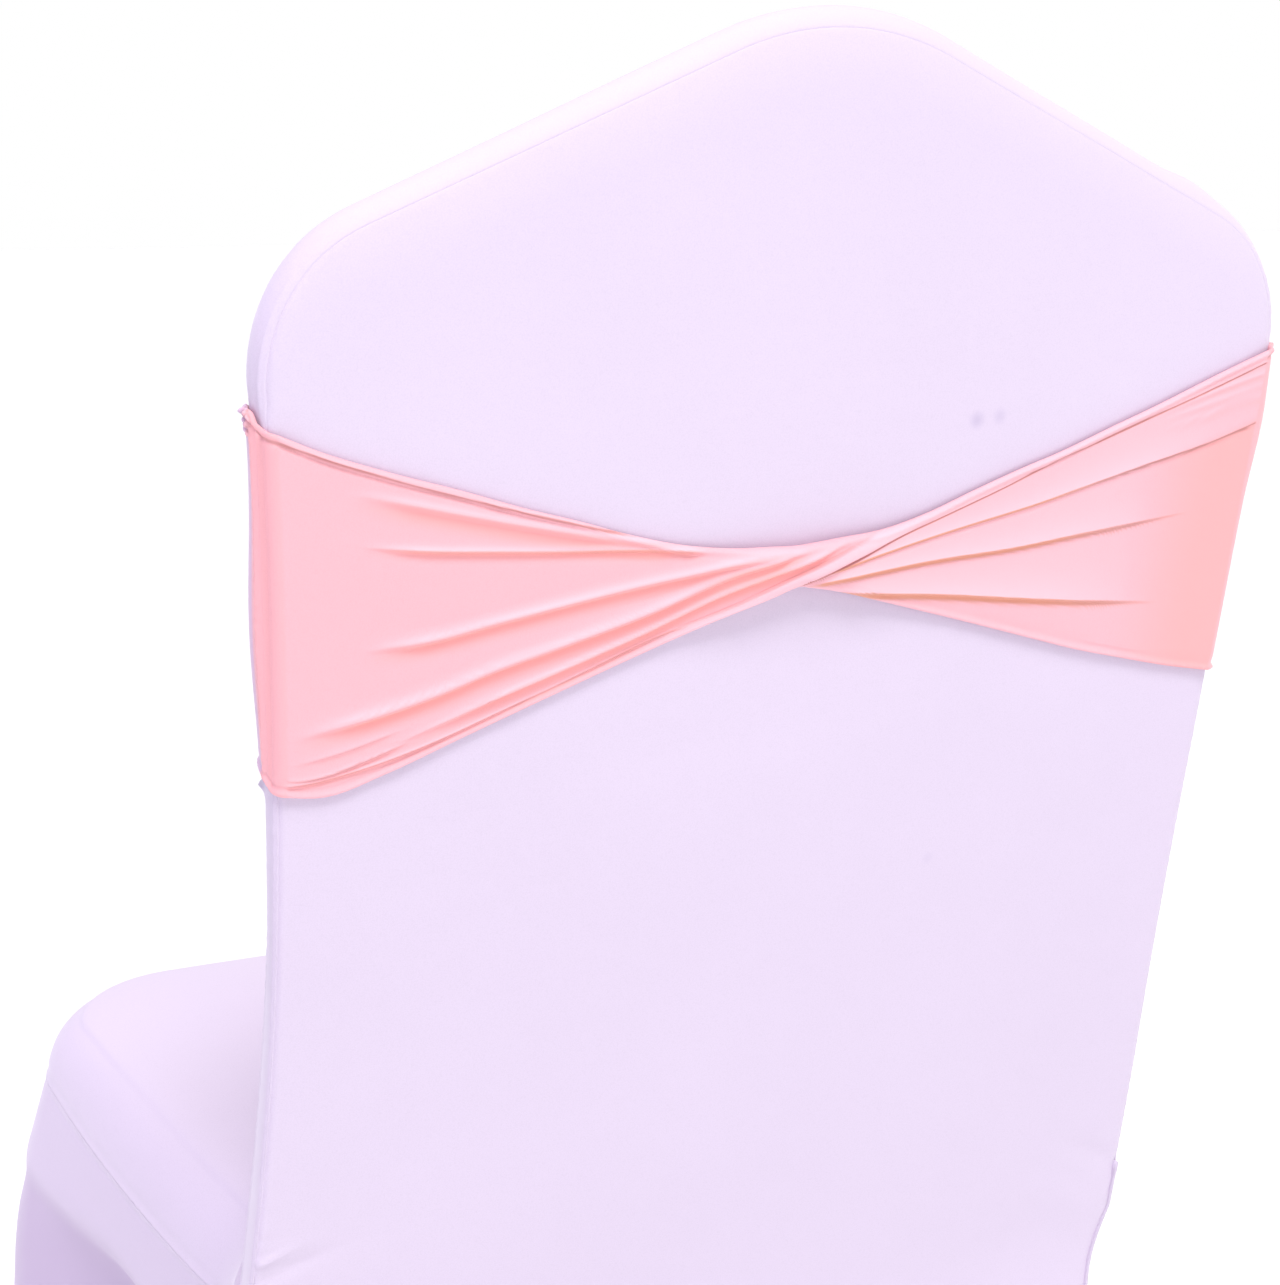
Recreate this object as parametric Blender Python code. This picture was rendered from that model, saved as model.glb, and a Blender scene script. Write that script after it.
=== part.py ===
"""Stretch cover for a crown-back banquet chair, with a half-turned sash band round its back.

The chair itself is left out: the cover is a hollow of sewn panels in the shape in which it is
stretched. Metres, +Z up, the front of the chair towards -Y, and +X on the sitter's left.
All heights in the tables are above the waist, where the back meets the top of the seat. The
finished part has its origin under the crown of the back, where the chair's top rail holds it.
"""

import math

import bmesh
import bpy
from mathutils import Vector

# Cloth
CLOTH = 0.0016
SEAM_GAP = 0.0003
PANEL_INSET = CLOTH + 0.0005

# Back of the chair: rear face leans and bows, heights above the waist
BACK_LEAN = 0.223
BACK_BOW = 0.156
BACK_DEPTH = 0.030
BACK_END = -0.060
WAIST_HALF = 0.209
WAIST_FLARE = 0.06
NARROW_HALF = 0.204
NARROW_H = 0.135
SHOULDER_HALF = 0.2095
SHOULDER_H = 0.330
SHOULDER_RADIUS = 0.0555
CROWN_SLOPE = math.radians(23.2)
CROWN_RADIUS = 0.110
CROWN_STEPS = (6, 4, 5)
FRONT_CROWN_STEPS = (4, 2, 2)
CAP_BASE_H = 0.275
CAP_ROWS = 5
REAR_ROW_HEIGHTS = (-0.03, 0.0, 0.055, 0.11, 0.165, 0.22)
FRONT_ROW_HEIGHTS = (BACK_END, -0.02, 0.03, 0.09, 0.15, 0.21)
FRONT_PADDING = 0.010
PADDING_EASE = 0.060

# Boxing strip round the back: how far it stands out between its two seams
BULGE_ROWS = (
    {"height": -0.060, "bulge": 0.0010},
    {"height": 0.050, "bulge": 0.0015},
    {"height": 0.120, "bulge": 0.0018},
    {"height": 0.200, "bulge": 0.0032},
    {"height": 0.330, "bulge": 0.0050},
    {"height": 0.380, "bulge": 0.0075},
    {"height": 0.450, "bulge": 0.0095},
)
BULGE_SKEW = 0.75
FRONT_DRAW_IN = 0.006
FRONT_INSET = PANEL_INSET + FRONT_DRAW_IN
SHOULDER_TUCK = {"x": -0.163, "reach": 0.012, "height": 0.0020}
GUSSET_DEPTHS = (0.0, 0.0035, 0.008, 0.0125, 0.019, 0.025, BACK_DEPTH)
GUSSET_HEIGHTS = (BACK_END, -0.02, 0.02, 0.06, 0.10, 0.14, 0.18, 0.22, 0.26, 0.295)

# Seat pad under the cover
SEAM_AT_WAIST = -0.0561
SEAT_RISE = 0.0227
SEAT_SIDE_ROWS = (
    {"y": -0.0452, "half": 0.2100},
    {"y": -0.0560, "half": 0.2062},
    {"y": -0.0700, "half": 0.2045},
    {"y": -0.1000, "half": 0.2086},
    {"y": -0.1300, "half": 0.2127},
    {"y": -0.1650, "half": 0.2167},
    {"y": -0.2000, "half": 0.2200},
    {"y": -0.2350, "half": 0.2227},
    {"y": -0.2700, "half": 0.2246},
    {"y": -0.3050, "half": 0.2260},
)
SEAT_CORNER_RADIUS = 0.058
SEAT_CORNER_STEPS = 7
SEAT_REAR_STEPS = 10
SEAT_FRONT_SHARES = (0.8, 0.6, 0.4, 0.2, 0.0)
SEAT_FRONT_BOW = 0.005
SEAT_DOME_ROWS = (
    {"inset": 0.0000, "toward_middle": 0.00, "rise": 0.0000, "tilt": 0.00},
    {"inset": 0.0025, "toward_middle": 0.00, "rise": 0.0105, "tilt": 0.50},
    {"inset": 0.0075, "toward_middle": 0.00, "rise": 0.0205, "tilt": 0.90},
    {"inset": 0.0170, "toward_middle": 0.00, "rise": 0.0290, "tilt": 1.20},
    {"inset": 0.0340, "toward_middle": 0.00, "rise": 0.0345, "tilt": 1.42},
    {"inset": 0.0340, "toward_middle": 0.40, "rise": 0.0395, "tilt": 1.52},
    {"inset": 0.0340, "toward_middle": 0.75, "rise": 0.0425, "tilt": 1.56},
)
SEAT_CREST = 0.043
SEAT_MIDDLE_Y = -0.205

# Skirt from the seat seam to the floor
FLOOR = -0.465
HEM_LOW = 0.006
SIDE_ARCH = 0.105
REAR_ARCH = 0.120
FRONT_ARCH = 0.110
SKIRT_ROWS = (
    {"height": -0.060, "corner": 0.000, "middle": 0.000},
    {"height": -0.085, "corner": 0.008, "middle": 0.0025},
    {"height": -0.106, "corner": 0.0145, "middle": 0.003},
    {"height": -0.114, "corner": 0.0165, "middle": 0.0005},
    {"height": -0.130, "corner": 0.021, "middle": -0.006},
    {"height": -0.175, "corner": 0.027, "middle": -0.013},
    {"height": -0.260, "corner": 0.030, "middle": -0.018},
    {"height": -0.360, "corner": 0.032, "middle": -0.016},
    {"height": -0.459, "corner": 0.034, "middle": -0.010},
)
SKIRT_TOP_DEPTHS = (0.0, 0.012, 0.022, BACK_DEPTH - 0.001)
REAR_REACH = 0.20

# Rear panel below the pad: drawn in at the pad's lower edge, then out to the rear feet
REAR_JOIN = -0.085
REAR_KICK = 0.075
REAR_WIDTH_ROWS = (
    {"height": -0.085, "half": 0.2141},
    {"height": -0.110, "half": 0.2090},
    {"height": -0.175, "half": 0.2110},
    {"height": -0.260, "half": 0.2150},
    {"height": FLOOR, "half": 0.2230},
)

# Sash band: rows across the rear face, from the sitter's left to the right
SASH_CLOTH = 0.0014
SASH_GAP = 0.0005
SASH_REAR_ROWS = (
    {"x": 0.2095, "top": 0.317, "bottom": 0.190},
    {"x": 0.2070, "top": 0.316, "bottom": 0.189},
    {"x": 0.1940, "top": 0.311, "bottom": 0.188},
    {"x": 0.1700, "top": 0.302, "bottom": 0.194},
    {"x": 0.1440, "top": 0.2935, "bottom": 0.203},
    {"x": 0.1180, "top": 0.285, "bottom": 0.212},
    {"x": 0.0990, "top": 0.2795, "bottom": 0.2185},
    {"x": 0.0800, "top": 0.2735, "bottom": 0.225},
    {"x": 0.0580, "top": 0.268, "bottom": 0.2325},
    {"x": 0.0330, "top": 0.265, "bottom": 0.241},
    {"x": 0.0050, "top": 0.2645, "bottom": 0.2485},
    {"x": -0.0280, "top": 0.2675, "bottom": 0.240},
    {"x": -0.0480, "top": 0.272, "bottom": 0.234},
    {"x": -0.0700, "top": 0.279, "bottom": 0.2275},
    {"x": -0.0900, "top": 0.2855, "bottom": 0.2215},
    {"x": -0.1100, "top": 0.2915, "bottom": 0.2155},
    {"x": -0.1320, "top": 0.2995, "bottom": 0.209},
    {"x": -0.1540, "top": 0.3075, "bottom": 0.2035},
    {"x": -0.1860, "top": 0.320, "bottom": 0.196},
    {"x": -0.2070, "top": 0.328, "bottom": 0.192},
    {"x": -0.2095, "top": 0.329, "bottom": 0.1915},
)
SASH_FRONT_TOP = 0.317
SASH_FRONT_BOTTOM = 0.190
SASH_FRONT_EASE = 0.0012
SASH_LEFT_LIFT = 0.008
SASH_RIGHT_LIFT = 0.0024
KNOT_X = 0.005
KNOT_REACH = 0.038
KNOT_STEPS = 12
KNOT_BULK = 0.0062
KNOT_BULK_REACH = 0.040

# Folds that run through the knot: q is +1 on the edge that starts on top at the sitter's left
FOLD_ROWS = (
    {"q": 0.84, "left": 0.0018, "left_end": 0.185, "right": 0.0008, "right_end": -0.120},
    {"q": 0.58, "left": 0.0022, "left_end": 0.185, "right": 0.0022, "right_end": -0.175},
    {"q": -0.10, "left": 0.0026, "left_end": 0.190, "right": 0.0028, "right_end": -0.180},
    {"q": -0.56, "left": 0.0024, "left_end": 0.205, "right": 0.0028, "right_end": -0.207},
    {"q": -0.90, "left": 0.0020, "left_end": 0.207, "right": 0.0020, "right_end": -0.207},
)
FOLD_HALF_WIDTH = 0.13
FLAT_BETWEEN_FOLDS = 0.24
FOLD_SAMPLE_LIMIT = 0.97

# Finish
SHARP_ANGLE = math.radians(35)
COVER_ROUGHNESS = 0.55
SASH_ROUGHNESS = 0.5
COVER_COLOUR = (0.86, 0.78, 0.95, 1.0)
SASH_COLOUR = (1.0, 0.55, 0.60, 1.0)


def clear_scene():
    for old in list(bpy.data.objects):
        bpy.data.objects.remove(old, do_unlink=True)


def smooth(t):
    t = min(max(t, 0.0), 1.0)
    return t * t * (3.0 - 2.0 * t)


def lookup(rows, key, value, at):
    """Read a table's column at a place between two of its rows; the key column rises or falls."""
    ordered = sorted(rows, key=lambda row: row[key])
    if at <= ordered[0][key]:
        return ordered[0][value]
    for low, high in zip(ordered[:-1], ordered[1:]):
        if at <= high[key]:
            t = (at - low[key]) / (high[key] - low[key])
            return low[value] + (high[value] - low[value]) * t
    return ordered[-1][value]


def rear_y(h):
    """Rear face of the cover: leaning and bowed above the pad, kicked back to the feet below it."""
    if h >= REAR_JOIN:
        return BACK_LEAN * h - BACK_BOW * h * h
    start = BACK_LEAN * REAR_JOIN - BACK_BOW * REAR_JOIN ** 2
    slope = BACK_LEAN - 2.0 * BACK_BOW * REAR_JOIN
    length = REAR_JOIN - FLOOR
    t = (REAR_JOIN - h) / length
    return start - slope * length * t * (1.0 - t) ** 2 + REAR_KICK * smooth(t)


def back_point(x, h, depth):
    """A point of the back, this far in front of its rear face."""
    lean = math.atan(BACK_LEAN - 2.0 * BACK_BOW * max(h, REAR_JOIN))
    return Vector((x, rear_y(h) - depth * math.cos(lean), h + depth * math.sin(lean)))


def bulge_at(h, x=0.0):
    tuck = SHOULDER_TUCK["height"] * math.exp(-((x - SHOULDER_TUCK["x"]) / SHOULDER_TUCK["reach"]) ** 2)
    return lookup(BULGE_ROWS, "height", "bulge", h) + (tuck if h > SHOULDER_H else 0.0)


def strip_offset(bulge, depth):
    """How far the boxing strip lies outside the rear outline at a depth."""
    share = depth / BACK_DEPTH
    return bulge * math.sin(math.pi * share ** BULGE_SKEW) - FRONT_DRAW_IN * share


def half_width(h):
    """Half width of the rear outline at a height, up to the crown."""
    if h < REAR_JOIN:
        return lookup(REAR_WIDTH_ROWS, "height", "half", h)
    if h < 0.0:
        return WAIST_HALF - WAIST_FLARE * h
    if h < NARROW_H:
        return NARROW_HALF + (WAIST_HALF - NARROW_HALF) * (1.0 - h / NARROW_H) ** 2
    if h <= SHOULDER_H:
        t = (h - NARROW_H) / (SHOULDER_H - NARROW_H)
        return NARROW_HALF + (SHOULDER_HALF - NARROW_HALF) * t * t
    rise = min(h - SHOULDER_H, SHOULDER_RADIUS)
    return SHOULDER_HALF - SHOULDER_RADIUS + math.sqrt(SHOULDER_RADIUS ** 2 - rise ** 2)


def crown_outline(fillet_steps, slope_steps, peak_steps):
    """The crown from the left shoulder to the peak: points with their normals."""
    turn = math.pi / 2 - CROWN_SLOPE
    centre = Vector((SHOULDER_HALF - SHOULDER_RADIUS, SHOULDER_H))
    points = []
    for i in range(fillet_steps + 1):
        angle = turn * i / fillet_steps
        normal = Vector((math.cos(angle), math.sin(angle)))
        points.append((centre + SHOULDER_RADIUS * normal, normal))
    start, normal = points[-1]
    peak_x = CROWN_RADIUS * math.cos(turn)
    peak_start = Vector((peak_x, start.y + math.tan(CROWN_SLOPE) * (start.x - peak_x)))
    for i in range(1, slope_steps + 1):
        points.append((start.lerp(peak_start, i / slope_steps), normal))
    middle = peak_start - CROWN_RADIUS * normal
    for i in range(1, peak_steps + 1):
        angle = turn + CROWN_SLOPE * i / peak_steps
        normal = Vector((math.cos(angle), math.sin(angle)))
        points.append((middle + CROWN_RADIUS * normal, normal))
    return points


def mirrored(points):
    """Complete a left half that ends on the middle line with its right half."""
    right = [(Vector((-p.x, p.y)), Vector((-n.x, n.y))) for p, n in reversed(points[:-1])]
    return points + right


def across_shares(points):
    """Where a panel's columns stand, from +1 to -1, by the run of its crown's seam."""
    runs = [0.0]
    for (a, _), (b, _) in zip(points[:-1], points[1:]):
        runs.append(runs[-1] + (b - a).length)
    return [1.0 - 2.0 * run / runs[-1] for run in runs]


def crown_height():
    return crown_outline(1, 1, 4)[-1][0].y


def mount_point():
    """Under the crown's top, where the chair's top rail holds the cover."""
    h = crown_height()
    return back_point(0.0, h + bulge_at(h) - CLOTH, GUSSET_DEPTHS[3])


def cloth_finish(name, colour, roughness):
    finish = bpy.data.materials.new(name)
    finish.use_nodes = True
    shader = finish.node_tree.nodes["Principled BSDF"]
    shader.inputs["Base Color"].default_value = colour
    shader.inputs["Roughness"].default_value = roughness
    shader.inputs["Metallic"].default_value = 0.0
    return finish


def add_body(name, points, faces, finish):
    """Make one closed body from points and faces, moved so that the mount is the origin."""
    shift = mount_point()
    bm = bmesh.new()
    corners = [bm.verts.new(point - shift) for point in points]
    for face in faces:
        bm.faces.new([corners[i] for i in face])
    bmesh.ops.recalc_face_normals(bm, faces=bm.faces)
    mesh = bpy.data.meshes.new(name)
    bm.to_mesh(mesh)
    bm.free()
    mesh.shade_smooth()
    mesh.set_sharp_from_angle(angle=SHARP_ANGLE)
    mesh.materials.append(finish)
    body = bpy.data.objects.new(name, mesh)
    bpy.context.scene.collection.objects.link(body)
    return body


def sheet_body(name, outer, inner, finish):
    """A thick sheet from two equal grids of points, closed round its four edges."""
    rows, columns = len(outer), len(outer[0])
    points = [p for row in outer for p in row] + [p for row in inner for p in row]
    back = rows * columns
    faces = []
    for i in range(rows - 1):
        for j in range(columns - 1):
            a, b = i * columns + j, i * columns + j + 1
            c, d = a + columns, b + columns
            faces.append((a, b, d, c))
            faces.append((back + a, back + c, back + d, back + b))
    rim = [j for j in range(columns)]
    rim += [i * columns + columns - 1 for i in range(1, rows)]
    rim += [(rows - 1) * columns + j for j in range(columns - 2, -1, -1)]
    rim += [i * columns for i in range(rows - 2, 0, -1)]
    for a, b in zip(rim, rim[1:] + rim[:1]):
        faces.append((a, back + a, back + b, b))
    return add_body(name, points, faces, finish)


def hem_height(share, arch):
    """Hem between two feet: low at both ends and arched between them."""
    return FLOOR + HEM_LOW + arch * math.sin(math.pi * share) ** 2


def skirt_share(row):
    """How far down a row lies between the skirt's top and its hem."""
    return (BACK_END - row["height"]) / (BACK_END - FLOOR - HEM_LOW)


def make_back_panel(finish):
    """Outside back: one panel from the crown to the hem at the floor."""
    top = mirrored(crown_outline(*CROWN_STEPS))
    across = across_shares(top)
    outer, inner = [], []
    hem = [hem_height((u + 1.0) / 2.0, REAR_ARCH) for u in across]

    def add_row(places):
        outer.append([back_point(x, h, 0.0) for x, h in places])
        inner.append([back_point(x, h, CLOTH) for x, h in places])

    for row in reversed(SKIRT_ROWS):
        heights = [BACK_END + (low - BACK_END) * skirt_share(row) for low in hem]
        add_row([(u * (half_width(h) - PANEL_INSET), h) for u, h in zip(across, heights)])
    for h in REAR_ROW_HEIGHTS:
        add_row([(u * (half_width(h) - PANEL_INSET), h) for u in across])
    for k in range(CAP_ROWS + 1):
        add_row(cap_row(across, top, PANEL_INSET, k / CAP_ROWS))
    return sheet_body("back_panel", outer, inner, finish)


def cap_row(across, top, inset, share):
    """A row of the crowned cap, this far from its straight base to the crown's seam."""
    places = []
    for u, (p, n) in zip(across, top):
        base = Vector((u * (half_width(CAP_BASE_H) - inset), CAP_BASE_H))
        places.append(tuple(base.lerp(p - inset * n, share)))
    return places


def edge_distance(x, h):
    """Distance from a point of the back to its side and crown seam."""
    at = Vector((x, h))
    nearest = SHOULDER_HALF
    path = [p for p, n in gusset_path()]
    for a, b in zip(path[:-1], path[1:]):
        t = min(max((at - a).dot(b - a) / (b - a).length_squared, 0.0), 1.0)
        nearest = min(nearest, (at - a.lerp(b, t)).length)
    return nearest


def front_padding(x, h):
    """How far the padded inside back stands forward of its seams."""
    inside = min(max(edge_distance(x, h) - FRONT_INSET, 0.0) / PADDING_EASE, 1.0)
    low = smooth((h - BACK_END) / (2.0 * PADDING_EASE))
    return FRONT_PADDING * (1.0 - (1.0 - inside) ** 2) * low


def front_crown():
    return mirrored(crown_outline(*FRONT_CROWN_STEPS))


def make_front_panel(finish):
    """Inside back: from the crown down to the crease behind the seat."""
    top = front_crown()
    across = across_shares(top)
    outer, inner = [], []

    def add_row(places):
        stand = [front_padding(x, h) for x, h in places]
        outer.append([back_point(x, h, BACK_DEPTH + s) for s, (x, h) in zip(stand, places)])
        inner.append([back_point(x, h, BACK_DEPTH + s - CLOTH) for s, (x, h) in zip(stand, places)])

    for h in FRONT_ROW_HEIGHTS:
        add_row([(u * (half_width(h) - FRONT_INSET), h) for u in across])
    for k in range(CAP_ROWS + 1):
        add_row(cap_row(across, top, FRONT_INSET, k / CAP_ROWS))
    return sheet_body("front_panel", outer, inner, finish)


def gusset_path():
    """The line of the boxing strip: up the left side, over the crown and down the right."""
    half = [(Vector((half_width(h), h)), Vector((1.0, 0.0))) for h in GUSSET_HEIGHTS]
    return mirrored(half + crown_outline(*CROWN_STEPS))


def make_back_gusset(finish):
    """Boxing strip: closes the back between its rear and front panels."""
    outer, inner = [], []
    for p, n in gusset_path():
        stand = bulge_at(p.y, p.x)
        row_outer, row_inner = [], []
        for depth in GUSSET_DEPTHS:
            out = p + n * strip_offset(stand, depth)
            back = out - n * CLOTH
            row_outer.append(back_point(out.x, out.y, depth))
            row_inner.append(back_point(back.x, back.y, depth))
        outer.append(row_outer)
        inner.append(row_inner)
    return sheet_body("back_gusset", outer, inner, finish)


def seat_seam_z(y):
    return SEAM_AT_WAIST - SEAT_RISE * y


def seat_path():
    """Seam line round the seat, from its rear left corner forward and round to the right."""
    half = [Vector((row["half"], row["y"])) for row in SEAT_SIDE_ROWS]
    corner = half[-1] - Vector((SEAT_CORNER_RADIUS, 0.0))
    for i in range(1, SEAT_CORNER_STEPS + 1):
        angle = math.pi / 2 * i / SEAT_CORNER_STEPS
        half.append(corner + SEAT_CORNER_RADIUS * Vector((math.cos(angle), -math.sin(angle))))
    side = half[-1]
    for share in SEAT_FRONT_SHARES:
        half.append(Vector((side.x * share, side.y - SEAT_FRONT_BOW * (1.0 - share ** 2))))
    right = [Vector((-p.x, p.y)) for p in reversed(half[:-1])]
    return half + right


def plan_normals(path):
    """Outward normals of a plan line that runs from the left, round the front, to the right."""
    normals = [Vector((1.0, 0.0))]
    for before, after in zip(path[:-2], path[2:]):
        along = (after - before).normalized()
        normals.append(Vector((-along.y, along.x)))
    return normals + [Vector((-1.0, 0.0))]


def make_seat_panel(finish):
    """Seat top: crowned cloth over the pad, sewn to the skirt along a raised seam."""
    path = seat_path()
    first, last = path[0], path[-1]
    for i in range(1, SEAT_REAR_STEPS):
        path.append(last.lerp(first, i / SEAT_REAR_STEPS))
    middle = Vector((0.0, SEAT_MIDDLE_Y))
    outwards = [(p - middle).normalized() for p in path]
    points = []
    for skin in (0.0, CLOTH):
        for row in SEAT_DOME_ROWS:
            inward = row["inset"] + skin * math.cos(row["tilt"])
            drop = skin * math.sin(row["tilt"]) - SEAM_GAP / 2
            for p, away in zip(path, outwards):
                at = (p - away * inward).lerp(middle, row["toward_middle"])
                points.append(Vector((at.x, at.y, seat_seam_z(at.y) + row["rise"] - drop)))
        z = seat_seam_z(middle.y) + SEAT_CREST - skin
        points.append(Vector((middle.x, middle.y, z)))
    count = len(path)
    rings = len(SEAT_DOME_ROWS)
    skin_size = count * rings + 1
    faces = []
    for base in (0, skin_size):
        for i in range(rings - 1):
            for j in range(count):
                a, b = base + i * count + j, base + i * count + (j + 1) % count
                faces.append((a, b, b + count, a + count))
        last_ring = base + (rings - 1) * count
        for j in range(count):
            faces.append((last_ring + j, last_ring + (j + 1) % count, base + skin_size - 1))
    for j in range(count):
        k = (j + 1) % count
        faces.append((j, skin_size + j, skin_size + k, k))
    return add_body("seat_panel", points, faces, finish)


def skirt_top():
    """Top edge of the skirt: under the boxing strip, then along the seat seam and back again."""
    left = []
    for depth in SKIRT_TOP_DEPTHS:
        out = half_width(BACK_END) + strip_offset(bulge_at(BACK_END), depth)
        p = back_point(out, BACK_END, depth)
        left.append(Vector((p.x, p.y, p.z - SEAM_GAP)))
    seat = [Vector((p.x, p.y, seat_seam_z(p.y) - SEAM_GAP / 2)) for p in seat_path()]
    right = [Vector((-p.x, p.y, p.z)) for p in reversed(left)]
    return left + seat + right


def make_seat_skirt(finish):
    """Skirt: one wrap from the rear panel's left edge round the front to its right edge."""
    top = skirt_top()
    plan = [Vector((p.x, p.y)) for p in top]
    normals = plan_normals(plan)
    run = [0.0]
    for a, b in zip(plan[:-1], plan[1:]):
        run.append(run[-1] + (b - a).length)
    total = run[-1]
    corner_y = SEAT_SIDE_ROWS[-1]["y"] - 0.6 * SEAT_CORNER_RADIUS
    corner_run = next(r for r, p in zip(run, plan) if p.y < corner_y)
    outer, inner = [], []
    for row in SKIRT_ROWS:
        places = []
        for p, n, r in zip(top, normals, run):
            side = min(r, total - r)
            if side <= corner_run:
                local, arch = side / corner_run, SIDE_ARCH
            else:
                local = (side - corner_run) / (total / 2 - corner_run) / 2
                arch = FRONT_ARCH
            hem = hem_height(local, arch)
            z = p.z + (hem - p.z) * skirt_share(row)
            to_corner = math.cos(math.pi * local) ** 2 if side > 0.5 * corner_run else 0.0
            spread = row["middle"] + (row["corner"] - row["middle"]) * to_corner
            rear = (1.0 - smooth(side / REAR_REACH)) if row is not SKIRT_ROWS[0] else 0.0
            spread *= 1.0 - rear
            shift_x = (half_width(z) - half_width(BACK_END)) * math.copysign(1.0, p.x)
            shift_y = rear_y(z) - rear_y(BACK_END)
            x = p.x + n.x * spread + shift_x * rear
            y = p.y + n.y * spread + shift_y * rear
            places.append(Vector((x, y, z)))
        flat = [Vector((p.x, p.y)) for p in places]
        facing = plan_normals(flat)
        outer.append(places)
        inner.append([p - CLOTH * n.to_3d() for p, n in zip(places, facing)])
    return sheet_body("seat_skirt", outer, inner, finish)


def fold_samples():
    """Places across the sash, from its upper edge down, with three on each fold."""
    places = {1.0, -1.0, FLAT_BETWEEN_FOLDS}
    for fold in FOLD_ROWS:
        for step in (-FOLD_HALF_WIDTH, 0.0, FOLD_HALF_WIDTH):
            if abs(fold["q"] + step) < FOLD_SAMPLE_LIMIT:
                places.add(round(fold["q"] + step, 3))
    return sorted(places, reverse=True)


def fold_relief(x, q):
    """How far the sash stands up in its folds, which fade towards the sides of the back."""
    side = "left" if x >= KNOT_X else "right"
    relief = 0.0
    for fold in FOLD_ROWS:
        reached = (x - KNOT_X) / (fold[side + "_end"] - KNOT_X)
        fade = 1.0 - smooth(reached * reached)
        across = max(0.0, 1.0 - abs(q - fold["q"]) / FOLD_HALF_WIDTH)
        relief = max(relief, fold[side] * fade * across)
    return relief


def sash_stations():
    """Round the back once: rear face, right side, front, left side."""
    stations = []
    knot = [KNOT_X + KNOT_REACH * (1.0 - 2.0 * k / KNOT_STEPS) for k in range(KNOT_STEPS + 1)]
    places = [row["x"] for row in SASH_REAR_ROWS if abs(row["x"] - KNOT_X) > KNOT_REACH]
    for x in sorted(places + knot, reverse=True):
        top = lookup(SASH_REAR_ROWS, "x", "top", x)
        bottom = lookup(SASH_REAR_ROWS, "x", "bottom", x)
        stations.append({"on": "rear", "at": x, "top": top, "bottom": bottom})
    first, last = stations[0], stations[-1]
    for depth in GUSSET_DEPTHS[1:-1]:
        t = smooth(depth / BACK_DEPTH)
        lift = SASH_RIGHT_LIFT * math.sin(math.pi * depth / BACK_DEPTH)
        top = last["top"] + (SASH_FRONT_TOP - last["top"]) * t + lift
        bottom = last["bottom"] + (SASH_FRONT_BOTTOM - last["bottom"]) * t + lift
        stations.append({"on": "right", "at": depth, "top": top, "bottom": bottom})
    for u in reversed(across_shares(front_crown())):
        stations.append({"on": "front", "at": u, "top": SASH_FRONT_TOP, "bottom": SASH_FRONT_BOTTOM})
    for depth in GUSSET_DEPTHS[-2:0:-1]:
        t = smooth(depth / BACK_DEPTH)
        lift = SASH_LEFT_LIFT * math.sin(math.pi * depth / BACK_DEPTH)
        top = first["top"] + (SASH_FRONT_TOP - first["top"]) * t + lift
        bottom = first["bottom"] + (SASH_FRONT_BOTTOM - first["bottom"]) * t + lift
        stations.append({"on": "left", "at": depth, "top": top, "bottom": bottom})
    return stations


def sleeve_point(on, at, h, out):
    """A point this far outside the cover's sleeve, on one of its four faces."""
    half = half_width(h)
    if on == "rear":
        corner = abs(at) >= SHOULDER_HALF
        x = math.copysign(half + out, at) if corner else at * half / SHOULDER_HALF
        return back_point(x, h, -out)
    if on == "front":
        half -= FRONT_DRAW_IN
        if abs(at) == 1.0:
            return back_point(math.copysign(half + out, at), h, BACK_DEPTH + out)
        clear = out + SASH_FRONT_EASE
        return back_point(at * half, h, BACK_DEPTH + front_padding(at * half, h) + clear)
    side = -1.0 if on == "right" else 1.0
    x = side * (half + strip_offset(bulge_at(h), at) + out)
    return back_point(x, h, at)


def make_sash_band(finish):
    """Sash: one loop round the back, turned over by half a turn at a pinch on the rear face."""
    samples = fold_samples()
    stations = sash_stations()
    rings = []
    for station in stations:
        x = station["at"] if station["on"] == "rear" else None
        reach = 1.0 if x is None else (KNOT_X + KNOT_REACH - x) / (2.0 * KNOT_REACH)
        turn = math.pi * smooth(reach)
        centre = (station["top"] + station["bottom"]) / 2.0
        half = (station["top"] - station["bottom"]) / 2.0
        bulk = 0.0 if x is None else KNOT_BULK * math.exp(-((x - KNOT_X) / KNOT_BULK_REACH) ** 2)
        deepest = 0.0 if x is None else max(fold_relief(x, q) for q in samples)
        lift = SASH_GAP + SASH_CLOTH / 2.0 + math.hypot(half * math.sin(turn), bulk * math.cos(turn))
        lift += deepest * smooth(reach)
        ring = []
        for face, order in ((1.0, samples), (-1.0, samples[::-1])):
            for q in order:
                relief = 0.0 if x is None else fold_relief(x, q)
                skin = relief + face * (SASH_CLOTH / 2.0 + bulk * math.sqrt(max(0.0, 1.0 - q * q)))
                h = centre + half * q * math.cos(turn) + skin * math.sin(turn)
                out = lift - half * q * math.sin(turn) + skin * math.cos(turn)
                ring.append(sleeve_point(station["on"], station["at"], h, out))
        rings.append(ring)
    size = len(rings[0])
    points = [p for ring in rings for p in ring]
    faces = []
    for i in range(len(rings)):
        last = i == len(rings) - 1
        base, following = i * size, 0 if last else (i + 1) * size
        swap = size // 2 if last else 0
        for j in range(size):
            k = (j + 1) % size
            faces.append((base + j, base + k, following + (k + swap) % size, following + (j + swap) % size))
    return add_body("sash_band", points, faces, finish)


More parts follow.
